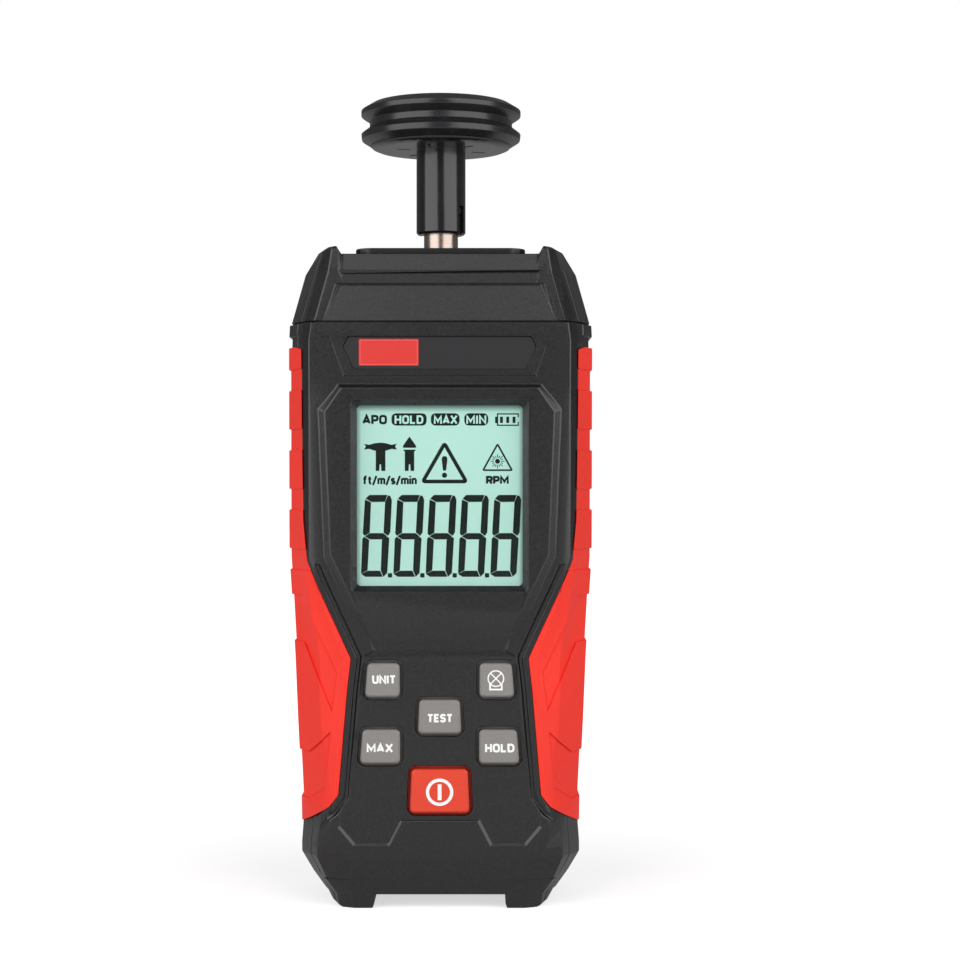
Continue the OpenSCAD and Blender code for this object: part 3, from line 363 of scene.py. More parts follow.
def make_finishes(look):
    """One material for each slot of the record, and a few for printed marks."""
    case, display = tuple(look.case_colour), tuple(look.display_colour)
    cell = [corner.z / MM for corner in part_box("battery_left")]
    low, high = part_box("lcd_panel")
    centre = ((low.x + high.x) / 2 / MM, (low.z + high.z) / 2 / MM)
    half = (look.view_width / 2 / MM, look.view_height / 2 / MM)
    # The display's colour, the darker colour of its painted shade under the bezel, and its middle
    # and half size
    shaded = (display, lin(96, 128, 118), centre, half)
    finishes = {
        "case_plastic": (moulded, case, 0.45, 0.30, 0.035, 0.7, 0.6),
        "collar_plastic": (moulded, [c * 0.8 for c in case], 0.30, 0.34),
        "grip_rubber": (soft_rubber, tuple(look.grip_colour)),
        "badge_print": (moulded, lin(38, 37, 39), 0.2, 0.36, 0.01, 0.2),
        "badge_panel": (printed, lin(212, 48, 43), 0.4),
        "badge_line": (printed, lin(236, 92, 78), 0.4),
        "clear_window": (clear_pane,),
        "display_glass": (liquid_crystal, *shaded),
        "display_ink": (printed, lin(24, 36, 31), 0.6, 0.1),
        "display_reverse": (liquid_crystal, *shaded),
        "light_guide": (moulded, (0.80, 0.84, 0.82), 0.8, 0.3, 0.01, 0.03),
        "white_plastic": (moulded, (0.78, 0.78, 0.75), 0.5, 0.4, 0.01, 0.04),
        "contact_rubber": (conductive_rubber, (0.75, 0.45, 0.42), (0.08, 0.05, 0.05)),
        "circuit_board": (circuit_board, (0.012, 0.11, 0.035), (0.62, 0.42, 0.16)),
        "black_component": (moulded, (0.022, 0.022, 0.024), 0.3, 0.45, 0.01),
        "component_metal": (zinc, (0.72, 0.71, 0.69)),
        "grey_key": (moulded, tuple(look.key_colour), 0.5, 0.42, 0.006, 0.05),
        "red_key": (moulded, tuple(look.power_colour), 0.5, 0.40, 0.006, 0.05),
        "legend_ink": (printed, (0.90, 0.90, 0.89), 0.5),
        "carrier_plastic": (moulded, (0.09, 0.10, 0.11), 0.3, 0.5),
        "bearing_steel": (zinc, (0.72, 0.72, 0.74), 0.2),
        "nickel": (plated, lin(176, 160, 150), 0.24, 5.0, 0.03),
        "dark_steel": (zinc, (0.10, 0.10, 0.105), 0.35),
        "disc_plastic": (glossy_black, (0.015, 0.015, 0.016), 0.25),
        "adapter_plastic": (glossy_black, lin(22, 22, 24), 0.14),
        "tyre_rubber": (tyre_rubber, lin(26, 26, 28)),
        "cell_jacket": (cell_jacket, (0.05, 0.055, 0.065), (0.55, 0.56, 0.58), *cell),
        "spring_steel": (zinc, (0.74, 0.73, 0.70), 0.28),
        "screw_steel": (zinc, (0.60, 0.60, 0.61), 0.3),
    }
    for name, (maker, *values) in finishes.items():
        FINISHES[name] = maker(name, *values)


# Mesh helpers

# Distance in metres under which two vertices are one
WELD = 2e-6
FLAT_ANGLE = math.radians(0.2)
EDGE_ANGLE = math.radians(22)
SMOOTH_ANGLE = math.radians(32)
# Share of the room beside an edge that its broken edge may take
ROOM_SHARE = 0.4


def closed_mesh(name, form):
    """Mesh of a finished form."""
    mesh = bpy.data.meshes.new(name)
    form.to_mesh(mesh)
    form.free()
    return mesh


def place(name, mesh, body, slot, finish=None):
    """Puts a mesh in the scene as a piece that rides on a body."""
    piece = bpy.data.objects.new(name, mesh)
    bpy.context.scene.collection.objects.link(piece)
    mesh.materials.clear()
    mesh.materials.append(FINISHES[finish or slot])
    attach(piece, body)
    return piece


def baked(piece):
    """The piece's mesh with its modifiers applied."""
    bpy.context.view_layer.update()
    graph = bpy.context.evaluated_depsgraph_get()
    mesh = bpy.data.meshes.new_from_object(piece.evaluated_get(graph))
    old = piece.data
    piece.modifiers.clear()
    piece.data = mesh
    if old.users == 0:
        bpy.data.meshes.remove(old)
    return mesh


def smoothed(piece, angle):
    """Shades the piece smooth, with edges sharp over an angle and large faces even."""
    form = bmesh.new()
    form.from_mesh(piece.data)
    for face in form.faces:
        face.smooth = True
    for edge in form.edges:
        edge.smooth = len(edge.link_faces) == 2 and edge.calc_face_angle(0) < angle
    form.to_mesh(piece.data)
    form.free()
    even = piece.modifiers.new("even", "WEIGHTED_NORMAL")
    even.keep_sharp = True
    baked(piece)


def merged(node):
    """Merged copy of a CAD node's mesh with its flat faces joined."""
    form = bmesh.new()
    form.from_mesh(frame["nodes"][node].data)
    bmesh.ops.remove_doubles(form, verts=form.verts, dist=WELD)
    bmesh.ops.dissolve_degenerate(form, edges=form.edges, dist=WELD)
    bmesh.ops.dissolve_limit(form, angle_limit=FLAT_ANGLE, verts=form.verts, edges=form.edges)
    return closed_mesh(node + "_finished", form)


def room_beside(edge, reach):
    """Distance from an edge to the nearest other edge of its faces, or reach if that is less."""
    ends = [v.co for v in edge.verts]
    middle = (ends[0] + ends[1]) / 2
    near = [reach] + [e.calc_length() for v in edge.verts for e in v.link_edges if e != edge]
    for other in {e for face in edge.link_faces for e in face.edges} - {edge}:
        far = [v.co for v in other.verts]
        span = (edge.calc_length() + other.calc_length()) / 2 + reach
        if (middle - (far[0] + far[1]) / 2).length > span or set(other.verts) & set(edge.verts):
            continue
        for spots, line in ((ends, far), (far, ends)):
            for spot in spots:
                share = intersect_point_line(spot, *line)[1]
                near.append((spot - line[0].lerp(line[1], min(1, max(0, share)))).length)
    return min(near)


def weigh_edges(mesh, width):
    """Marks the edges to be broken, with less than full width where a face is narrow."""
    form = bmesh.new()
    form.from_mesh(mesh)
    weight = form.edges.layers.float.new("bevel_weight_edge")
    for edge in form.edges:
        if edge.is_manifold and edge.calc_face_angle(0) > EDGE_ANGLE:
            edge[weight] = ROOM_SHARE * room_beside(edge, width / ROOM_SHARE) / width
    bmesh.ops.triangulate(form, faces=[f for f in form.faces if len(f.verts) > 4])
    form.to_mesh(mesh)
    form.free()


def settle(mesh, node, limit):
    """Puts vertices that a bevel threw off the CAD surface back on it."""
    data = frame["nodes"][node].data
    surface = BVHTree.FromPolygons([v.co for v in data.vertices],
                                   [p.vertices[:] for p in data.polygons])
    for vertex in mesh.vertices:
        spot = surface.find_nearest(vertex.co)[0]
        if (vertex.co - spot).length > limit:
            vertex.co = spot


def finished(node, width=0.0, rounds=2, finish=None):
    """Stands in for a CAD node with its edges broken and its facets shaded evenly."""
    mesh = merged(node)
    piece = place(node + "_finished", mesh, BODY_OF[node], SLOT_OF[node], finish)
    if width:
        weigh_edges(mesh, width * MM)
        edges = piece.modifiers.new("edges", "BEVEL")
        edges.width, edges.segments = width * MM, rounds
        edges.limit_method = "WEIGHT"
        edges.use_clamp_overlap = edges.loop_slide = False
        settle(baked(piece), node, width * MM / 2)
    smoothed(piece, SMOOTH_ANGLE)
    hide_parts(node)


def dress(node):
    """Gives a CAD node that stays as it is its finish."""
    data = frame["nodes"][node].data
    data.materials.clear()
    data.materials.append(FINISHES[SLOT_OF[node]])


def skinned(name, loops):
    """Closed mesh through loops of equal length, the last joined to the first."""
    form = bmesh.new()
    rows = [[form.verts.new(Vector(spot) * MM) for spot in loop] for loop in loops]
    for low, high in zip(rows, rows[1:] + rows[:1]):
        for k in range(len(low)):
            form.faces.new((low[k - 1], low[k], high[k], high[k - 1]))
    bmesh.ops.recalc_face_normals(form, faces=form.faces)
    return closed_mesh(name, form)


def tongue(name, side, spot, thick=0.5, reach=0.6):
    """Closed band inside the walls, seen only through a seam: side is its right half."""
    line = side + [(-u, v) for u, v in reversed(side)]
    corners = [(thick / 2, -reach), (thick / 2, reach), (-thick / 2, reach),
               (-thick / 2, -reach)]
    loops = [[spot(u, v, h) for u, v in grown(line, by)] for by, h in corners]
    place(name, skinned(name, loops), "case", "case_plastic")


# Outlines

def rounded(points, radius, steps=4):
    """Outline with each corner rounded."""
    made = []
    count = len(points)
    for i, point in enumerate(points):
        here = Vector(point)
        u = Vector(points[i - 1]) - here
        v = Vector(points[(i + 1) % count]) - here
        reach = min(radius, u.length * 0.45, v.length * 0.45)
        u, v = u.normalized() * reach, v.normalized() * reach
        for k in range(steps + 1):
            t = k / steps
            made.append(tuple(here + u * (1 - t) ** 2 + v * t ** 2))
    return made


def grown(points, by):
    """Outline with every edge moved outwards."""
    spots = [Vector(p) for p in points]
    count = len(spots)
    turn = sum(a.x * b.y - b.x * a.y for a, b in zip(spots, spots[1:] + spots[:1]))
    made = []
    for i, here in enumerate(spots):
        before = (here - spots[i - 1]).normalized()
        after = (spots[(i + 1) % count] - here).normalized()
        out = [Vector((a.y, -a.x)) * (1 if turn > 0 else -1) for a in (before, after)]
        made.append(tuple(here + by * (out[0] + out[1]) / max(0.35, 1 + out[0].dot(out[1]))))
    return made


def oblong(left, low, right, high):
    """Upright rectangle."""
    return [(left, low), (right, low), (right, high), (left, high)]


def round_dot(x, z, radius, steps=32):
    """Round outline."""
    return [(x + radius * math.cos(2 * math.pi * k / steps),
             z + radius * math.sin(2 * math.pi * k / steps)) for k in range(steps)]


def stroke(points, width, closed=False):
    """Outlines of a line of a given width: one four-sided outline for each run, mitred."""
    spots = [Vector(p) for p in points]
    count = len(spots)
    runs = count if closed else count - 1
    across = []
    for i in range(runs):
        along = (spots[(i + 1) % count] - spots[i]).normalized()
        across.append(Vector((-along.y, along.x)))

    def side(i, sign):
        i %= count
        before = across[i - 1] if closed or i > 0 else across[i]
        after = across[i] if i < runs else before
        return tuple(spots[i] + sign * width / 2 * (before + after)
                     / max(0.3, 1 + before.dot(after)))

    return [[side(i, -1), side(i + 1, -1), side(i + 1, 1), side(i, 1)] for i in range(runs)]


def ring(x, z, radius, width, steps=48):
    """Outlines of a round line."""
    return stroke(round_dot(x, z, radius, steps), width, closed=True)


def film(name, outlines, y, thick=0.02):
    """Mesh of flat outlines in X and Z, extruded towards -Y from depth y.

    Neighbours in the list differ a little in height, so that crossing lines don't coincide.
    """
    form = bmesh.new()
    for order, outline in enumerate(outlines):
        proud = thick * (1 + 0.02 * (order % 8))
        area = sum(a[0] * b[1] - b[0] * a[1] for a, b in zip(outline, outline[1:] + outline[:1]))
        if area < 0:
            outline = outline[::-1]
        back = [form.verts.new((x * MM, y * MM, z * MM)) for x, z in outline]
        front = [form.verts.new((x * MM, (y - proud) * MM, z * MM)) for x, z in outline]
        form.faces.new(front)
        form.faces.new(back[::-1])
        for i in range(len(outline)):
            form.faces.new((back[i - 1], back[i], front[i], front[i - 1]))
    return closed_mesh(name, form)


# Centre lines of the letters in a unit box: width as a share of the height, then lines
LETTERS = {
    "A": (0.80, [[(0, 0), (0.5, 1), (1, 0)], [(0.17, 0.26), (0.83, 0.26)]]),
    "D": (0.72, [[(0, 0), (0, 1), (0.55, 1), (0.85, 0.92), (1, 0.70), (1, 0.30),
                  (0.85, 0.08), (0.55, 0), (-0.12, 0)]]),
    "E": (0.62, [[(1, 1), (0, 1), (0, 0), (1, 0)], [(0, 0.51), (0.88, 0.51)]]),
    "H": (0.72, [[(0, -0.1), (0, 1.1)], [(1, -0.1), (1, 1.1)], [(0, 0.5), (1, 0.5)]]),
    "I": (0.02, [[(0.5, -0.1), (0.5, 1.1)]]),
    "L": (0.58, [[(0, 1.1), (0, 0), (1.05, 0)]]),
    "M": (0.98, [[(0, -0.1), (0, 1), (0.5, 0.22), (1, 1), (1, -0.1)]]),
    "N": (0.76, [[(0, -0.1), (0, 1), (1, 0), (1, 1.1)]]),
    "O": (0.74, [[(0.30, 0), (0.70, 0), (0.92, 0.09), (1, 0.30), (1, 0.70), (0.92, 0.91),
                  (0.70, 1), (0.30, 1), (0.08, 0.91), (0, 0.70), (0, 0.30), (0.08, 0.09),
                  (0.30, 0), (0.5, 0)]]),
    "P": (0.66, [[(0, -0.1), (0, 1), (0.65, 1), (0.92, 0.93), (1, 0.77), (1, 0.64),
                  (0.92, 0.47), (0.65, 0.40), (0, 0.40)]]),
    "R": (0.68, [[(0, -0.1), (0, 1), (0.65, 1), (0.92, 0.93), (1, 0.77), (1, 0.66),
                  (0.92, 0.50), (0.65, 0.43), (0, 0.43)], [(0.52, 0.43), (1.02, -0.1)]]),
    "S": (0.64, [[(1, 0.80), (0.90, 0.95), (0.68, 1), (0.30, 1), (0.08, 0.92), (0, 0.74),
                  (0.10, 0.58), (0.34, 0.52), (0.68, 0.48), (0.92, 0.40), (1, 0.25),
                  (0.92, 0.08), (0.70, 0), (0.30, 0), (0.08, 0.06), (-0.02, 0.22)]]),
    "T": (0.72, [[(-0.06, 1), (1.06, 1)], [(0.5, -0.1), (0.5, 1)]]),
    "U": (0.72, [[(0, 1.1), (0, 0.30), (0.09, 0.08), (0.32, 0), (0.68, 0), (0.91, 0.08),
                  (1, 0.30), (1, 1.1)]]),
    "X": (0.80, [[(-0.03, -0.08), (1.03, 1.08)], [(-0.03, 1.08), (1.03, -0.08)]]),
    "f": (0.36, [[(1.1, 1), (0.75, 1), (0.35, 0.88), (0.35, -0.1)], [(-0.2, 0.66), (1, 0.66)]]),
    "t": (0.34, [[(0.4, 1), (0.4, 0.14), (0.7, 0), (1.15, 0)], [(-0.2, 0.66), (1.1, 0.66)]]),
    "/": (0.40, [[(-0.1, -0.24), (1.1, 1.1)]]),
    "m": (0.84, [[(0, -0.1), (0, 0.74)], [(0, 0.52), (0.12, 0.66), (0.36, 0.66), (0.5, 0.54),
                  (0.5, -0.1)], [(0.5, 0.52), (0.62, 0.66), (0.86, 0.66), (1, 0.54),
                  (1, -0.1)]]),
    "s": (0.40, [[(1, 0.58), (0.7, 0.66), (0.3, 0.66), (0.02, 0.56), (0.05, 0.42),
                  (0.95, 0.26), (1, 0.10), (0.7, 0), (0.3, 0), (-0.05, 0.08)]]),
    "i": (0.02, [[(0.5, -0.1), (0.5, 0.74)], [(0.5, 0.90), (0.5, 1.10)]]),
    "n": (0.46, [[(0, -0.1), (0, 0.74)], [(0, 0.50), (0.22, 0.66), (0.74, 0.66), (1, 0.50),
                  (1, -0.1)]]),
}


def word(text, x, z, width, height, weight, gap=0.30):
    """Outlines of a word centred on x and z, with an outer width and height."""
    shares = [LETTERS[letter][0] for letter in text]
    gap = gap + weight / height
    unit = (width - weight) / (sum(shares) + gap * (len(text) - 1))
    made = []
    left, rise = x - (width - weight) / 2, height - weight
    for letter, share in zip(text, shares):
        over = 1 if letter == "/" else weight / 2 / rise
        for line in LETTERS[letter][1]:
            made += stroke([(left + u * share * unit,
                             z - rise / 2 + max(-over, min(1 + over, v)) * rise)
                            for u, v in line], weight)
        left += (share + gap) * unit
    return made


# Repeats

class Repeat:
    """Geometry Nodes tree that repeats one shape along a row."""

    def __init__(self, name):
        self.tree = bpy.data.node_groups.new(name, "GeometryNodeTree")
        face = self.tree.interface
        face.new_socket("Shape", in_out="INPUT", socket_type="NodeSocketGeometry")
        self.sizes = {
            label: face.new_socket(label, in_out="INPUT", socket_type=kind).identifier
            for label, kind in (("Count", "NodeSocketInt"), ("Start", "NodeSocketVector"),
                                ("Step", "NodeSocketVector"),
                                ("Finish", "NodeSocketMaterial"))}
        face.new_socket("Shape", in_out="OUTPUT", socket_type="NodeSocketGeometry")
        nodes = wired(self.tree, {
            "given": "NodeGroupInput", "line": "GeometryNodeMeshLine",
            "copies": "GeometryNodeInstanceOnPoints", "real": "GeometryNodeRealizeInstances",
            "finish": "GeometryNodeSetMaterial", "end": "NodeGroupOutput"}, [
                ("given", "Count", "line", "Count"),
                ("given", "Start", "line", "Start Location"),
                ("given", "Step", "line", "Offset"),
                ("line", "Mesh", "copies", "Points"),
                ("given", "Shape", "copies", "Instance"),
                ("copies", "Instances", "real", "Geometry"),
                ("real", "Geometry", "finish", "Geometry"),
                ("given", "Finish", "finish", "Material"),
                ("finish", "Geometry", "end", "Shape")])
        nodes["line"].mode = "OFFSET"

    def made(self, mesh, count, start, step, finish):
        """The repeated shape as one plain mesh."""
        holder = bpy.data.objects.new("repeat", mesh)
        bpy.context.scene.collection.objects.link(holder)
        row = holder.modifiers.new("row", "NODES")
        row.node_group = self.tree
        row[self.sizes["Count"]] = count
        row[self.sizes["Start"]] = [v * MM for v in start]
        row[self.sizes["Step"]] = [v * MM for v in step]
        row[self.sizes["Finish"]] = FINISHES[finish]
        bpy.context.view_layer.update()
        graph = bpy.context.evaluated_depsgraph_get()
        result = bpy.data.meshes.new_from_object(holder.evaluated_get(graph))
        bpy.data.objects.remove(holder)
        return result


# Settings

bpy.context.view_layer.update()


def tint(name, description, *srgb):
    """Setting of a colour, from 0-255 screen values."""
    return bpy.props.FloatVectorProperty(
        name=name, description=description, subtype="COLOR", size=3, default=lin(*srgb),
        min=0, max=1)


class TachometerLook(bpy.types.PropertyGroup):
    """Colours and sizes that a user would change."""
    case_colour: tint("Case", "Colour of the black shells", 22, 21, 23)
    grip_colour: tint("Grips", "Colour of the rubber grips", 244, 58, 46)
    key_colour: tint("Keys", "Colour of the five small keys", 133, 130, 127)
    power_colour: tint("Power key", "Colour of the power key", 222, 66, 44)
    display_colour: tint("Display", "Background of the display", 178, 220, 208)
    view_width: bpy.props.FloatProperty(
        name="Display width", description="Visible width of the display", unit="LENGTH",
        default=0.032, min=0.02, max=0.04)
    view_height: bpy.props.FloatProperty(
        name="Display height", description="Visible height of the display", unit="LENGTH",
        default=0.0349, min=0.02, max=0.04)
    edge_width: bpy.props.FloatProperty(
        name="Edge radius", description="How far the edges of the shells are broken",
        unit="LENGTH", default=0.00022, min=0.00005, max=0.0004, precision=5)
    print_height: bpy.props.FloatProperty(
        name="Print thickness", description="Thickness of the printed legends",
        unit="LENGTH", default=0.00002, min=0.00001, max=0.0001, precision=6)


class TachometerStage(bpy.types.PropertyGroup):
    """Camera and light."""
    camera_place: bpy.props.FloatVectorProperty(
        name="Camera", description="Place of the camera", subtype="TRANSLATION",
        unit="LENGTH", size=3, default=(0.0078, -0.415, 0.0832))
    lens: bpy.props.FloatProperty(
        name="Lens", description="Focal length on a 36 mm wide sensor, in millimetres",
        default=77.81, min=20, max=200)
    side_light: bpy.props.FloatProperty(
        name="Side lights", description="Power of the softbox on each side", unit="POWER",
        default=2.0, min=0, max=50)
    top_light: bpy.props.FloatProperty(
        name="Top light", description="Power of the softbox over the object",
        unit="POWER", default=0.28, min=0, max=50)
    fill: bpy.props.FloatProperty(
        name="Fill", description="Strength of the light from all round", default=0.16,
        min=0, max=2)


# Operators

# Each softbox: name, place and size in metres, and the setting that holds its power
SOFTBOXES = (("left", (-0.350, -0.325, 0.24), (0.60, 0.44), "side_light"),
             ("right", (0.350, -0.325, 0.24), (0.60, 0.44), "side_light"),
             ("top", (0, -0.42, 0.42), (0.40, 0.22), "top_light"))
AIM = Vector((0, 0, 0.085))
FLOOR_RADIUS = 3.0
FLOOR_DROP = 0.00005
FLOOR_SHADE = 0.7
# Glow of the floor: from and to these distances from the object, in metres, by these strengths
GLOW = {"From Min": 0.05, "From Max": 0.30, "To Min": 0.62, "To Max": 1.0}
GLOW_IN_GLOSS = 0.15


class TACHO_OT_stage(bpy.types.Operator):
    """Camera, soft studio lights, pale floor and backdrop"""
    bl_idname = "tacho.stage"
    bl_label = "Stage"

    def execute(self, context):
        stage = context.scene.tachometer_stage
        data = bpy.data.cameras.new("camera")
        data.lens, data.sensor_width = stage.lens, 36
        data.clip_start = 0.01
        camera = bpy.data.objects.new("camera", data)
        camera.location = stage.camera_place
        camera.rotation_euler = (math.radians(90), 0, 0)
        context.scene.collection.objects.link(camera)
        context.scene.camera = camera
        context.scene.view_settings.view_transform = "Standard"
        for name, spot, size, power in SOFTBOXES:
            light = bpy.data.lights.new(name, "AREA")
            light.shape, light.size, light.size_y = "RECTANGLE", *size
            light.energy = getattr(stage, power)
            lamp = bpy.data.objects.new(name, light)
            lamp.location = spot
            lamp.rotation_euler = (AIM - Vector(spot)).to_track_quat("-Z", "Y").to_euler()
            context.scene.collection.objects.link(lamp)
        self.surround(context, stage.fill)
        self.floor(context)
        return {"FINISHED"}

    def surround(self, context, fill):
        """White to the camera, and plain fill light otherwise."""
        world = bpy.data.worlds.new("studio")
        world.use_nodes = True
        nodes = wired(world.node_tree, {
            "ray": "ShaderNodeLightPath", "seen": "ShaderNodeMath",
            "light": "ShaderNodeBackground", "white": "ShaderNodeBackground",
            "both": "ShaderNodeMixShader", "out": "ShaderNodeOutputWorld"}, [
                ("ray", "Is Camera Ray", "seen", 0),
                ("ray", "Is Transmission Ray", "seen", 1),
                ("seen", 0, "both", 0), ("light", 0, "both", 1), ("white", 0, "both", 2),
                ("both", 0, "out", 0)])
        for name, strength in (("light", fill), ("white", 1.0)):
            nodes[name].inputs["Color"].default_value = (1, 1, 1, 1)
            nodes[name].inputs["Strength"].default_value = strength
        context.scene.world = world

    def floor(self, context):
        """Round pale floor that keeps the object's shadow."""
        form = bmesh.new()
        bmesh.ops.create_circle(form, cap_ends=True, segments=96, radius=FLOOR_RADIUS)
        for v in form.verts:
            v.co.z = -FLOOR_DROP
        mesh = closed_mesh("floor", form)
        floor = bpy.data.objects.new("floor", mesh)
        context.scene.collection.objects.link(floor)
        material = bpy.data.materials.new("pale_floor")
        material.use_nodes = True
        nodes = wired(material.node_tree, {
            "place": "ShaderNodeTexCoord", "far": "ShaderNodeVectorMath",
            "rise": "ShaderNodeMapRange", "glow": "ShaderNodeEmission",
            "none": "ShaderNodeEmission", "ray": "ShaderNodeLightPath",
            "seen": "ShaderNodeMath", "lift": "ShaderNodeMixShader",
            "diffuse": "ShaderNodeBsdfDiffuse", "total": "ShaderNodeAddShader",
            "out": "ShaderNodeOutputMaterial"}, [
                ("place", "Object", "far", 0), ("far", "Value", "rise", 0),
                ("rise", 0, "glow", "Strength"),
                ("ray", "Is Glossy Ray", "seen", 0), ("ray", "Is Camera Ray", "seen", 2),
                ("seen", 0, "lift", 0), ("none", 0, "lift", 1), ("glow", 0, "lift", 2),
                ("diffuse", 0, "total", 0), ("lift", 0, "total", 1),
                ("total", 0, "out", 0)], far="LENGTH", seen="MULTIPLY_ADD")
        for label, value in GLOW.items():
            nodes["rise"].inputs[label].default_value = value
        nodes["seen"].inputs[1].default_value = GLOW_IN_GLOSS
        nodes["none"].inputs["Strength"].default_value = 0.0
        nodes["glow"].inputs["Color"].default_value = (1, 1, 1, 1)
        nodes["diffuse"].inputs["Color"].default_value = (FLOOR_SHADE,) * 3 + (1,)
        mesh.materials.append(material)


# Right half of the tongue in each seam: x and y at the head's seam, x and z at the shells'
HEAD_TONGUE = [(23.6, -12.55), (26.32, -8.93), (28.5, -3.6), (28.5, 6.7), (23.6, 13.8)]
SHELL_TONGUE = [(13.9, 3.7), (13.9, 1.0), (19.3, 1.0), (20.4, 4.2), (23.9, 10.5), (22.85, 18.5),
                (22.6, 22.3), (22.9, 36.0), (23.3, 48.4), (24.8, 60.5), (25.95, 68.2),
                (26.2, 108.0), (26.45, 114.0), (23.45, 123.8), (22.2, 126.8)]


class TACHO_OT_case(bpy.types.Operator):
    """Shells of the body and the head, collar plate and battery door, with broken edges"""
    bl_idname = "tacho.case"
    bl_label = "Case"

    def execute(self, context):
        width = context.scene.tachometer_look.edge_width / MM
        for node in ("front_housing", "rear_housing", "head_front", "head_rear"):
            finished(node, width, 3)
        finished("battery_door", width)
        finished("collar_plate", width, finish="collar_plastic")
        seam = (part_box("front_housing")[1].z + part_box("head_front")[0].z) / 2 / MM
        plane = (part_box("head_front")[1].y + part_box("head_rear")[0].y) / 2 / MM
        tongue("head_tongue", HEAD_TONGUE, lambda x, y, h: (x, y, seam + h))
        tongue("shell_tongue", SHELL_TONGUE, lambda x, z, h: (x, plane + h, z))
        return {"FINISHED"}


class TACHO_OT_grips(bpy.types.Operator):
    """Red rubber grips with rounded edges"""
    bl_idname = "tacho.grips"
    bl_label = "Grips"

    def execute(self, context):
        width = context.scene.tachometer_look.edge_width / MM
        finished("grip_left", width)
        finished("grip_right", width)
        return {"FINISHED"}


# Left, low, right and high edge of the panel on the badge, and its outline's inset and width
BADGE_PANEL = (-15.65, 105.35, -4.1, 110.5)
BADGE_INSET = 0.25
BADGE_LINE = 0.12


class TACHO_OT_badge(bpy.types.Operator):
    """Badge plate with a plain red panel and no name"""
    bl_idname = "tacho.badge"
    bl_label = "Badge"

    def execute(self, context):
        thick = context.scene.tachometer_look.print_height / MM
        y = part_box("badge_plate")[0].y / MM
        finished("badge_plate", 0.06)
        panel = oblong(*BADGE_PANEL)
        line = stroke(grown(panel, -BADGE_INSET), BADGE_LINE, closed=True)
        for name, outlines, proud in (("badge_panel", [rounded(panel, 0.2, 3)], thick),
                                      ("badge_line", line, thick * 1.5)):
            place(name, film(name, outlines, y, proud), "case", "badge_print", name)
        return {"FINISHED"}


# Seven segments of a digit and its point, from the digit's lower left corner, leaning
DIGIT = {
    "top": [(0.95, 15.12), (1.62, 15.78), (5.05, 15.78), (4.60, 14.55), (2.03, 14.52)],
    "upper_left": [(0.80, 14.88), (1.88, 14.38), (1.62, 8.52), (0.68, 7.98), (0.40, 8.38)],
    "upper_right": [(5.28, 15.72), (5.62, 15.58), (5.92, 14.90), (5.62, 8.62),
                    (5.22, 7.96), (4.42, 8.55), (4.72, 14.45)],
    "middle": [(0.82, 7.82), (1.72, 8.36), (4.28, 8.36), (5.00, 7.82), (4.28, 7.26),
               (1.72, 7.26)],
    "lower_left": [(0.62, 7.66), (1.52, 7.10), (1.20, 1.22), (0.06, 0.66), (0.32, 7.30)],
    "lower_right": [(5.10, 7.68), (5.42, 7.38), (5.02, 0.72), (4.36, 0.04),
                    (3.88, 1.16), (4.10, 7.10)],
    "bottom": [(0.10, 0.50), (1.30, 1.06), (3.66, 1.06), (4.12, 0.0), (0.86, 0.0)],
}
DIGIT_START = (-15.30, 64.46)
DIGIT_PITCH = 6.28
# Decimal point: its centre, and half its width
POINT = (5.62, 0.22, 0.42)

# The other symbols are in points of a drawing: x to the right and z down from its corner
DRAWING_POINT = 0.029766
DRAWING_CORNER = (-19.4208, 102.6434)
PILLS = [(left, 298, right, 218) for left, right in ((337, 566), (594, 781), (812, 968))]
BATTERY = [(1164, 244), (1164, 222), (1029, 222), (1029, 296), (1164, 296), (1164, 274)]
BATTERY_CAP = (1013, 282, 1025, 240)
BATTERY_BARS = [(left, 281, left + 19, 240) for left in (1045, 1086, 1127)]
WHEEL_HEAD = [(157, 417), (190, 424), (228, 413), (264, 409), (300, 413), (338, 424), (372, 416),
              (360, 434), (372, 455), (338, 450), (300, 462), (264, 466), (228, 462),
              (190, 450), (157, 455), (170, 434)]
CONE_HEAD = [(454, 369), (497, 430), (497, 443), (412, 443), (412, 430)]
CONE_COLLAR = [(414, 455), (495, 455), (492, 465), (417, 465)]
# Left and right side of each adapter's stem, and the middle of its slot
STEMS = ((234, 297, 264), (424, 485, 455))
# Corners of each triangle, and the width of its line in millimetres
TRIANGLES = (([(683, 416), (824, 663), (542, 663)], 0.72),
             ([(1029, 420), (1123, 589), (935, 589)], 0.34))
EXCLAMATION = [(664, 516), (671, 498), (695, 498), (702, 516), (693, 592), (673, 592)]
EXCLAMATION_DOT = (683, 622, 17)
# Centre and radius of the burst's dot, and where its rays start and end
BURST = (1029, 531, 16)
RAY_START, RAY_ENDS = 24, (46, 38)

# Words on the display: text, centre in x and z, width, height, weight and gap
DARK_WORDS = (("APO", -12.66, 94.93, 4.8, 1.84, 0.46, 0.12),
              ("ft/m/s/min", -9.72, 83.20, 10.5, 1.74, 0.40, 0.10),
              ("RPM", 11.18, 83.20, 4.46, 1.62, 0.46, 0.08))
PALE_WORDS = (("HOLD", -6.00, 94.93, 5.6, 1.70, 0.38, 0.18),
              ("MAX", 1.12, 94.93, 4.6, 1.70, 0.38, 0.18),
              ("MIN", 7.07, 94.93, 3.9, 1.70, 0.38, 0.20))


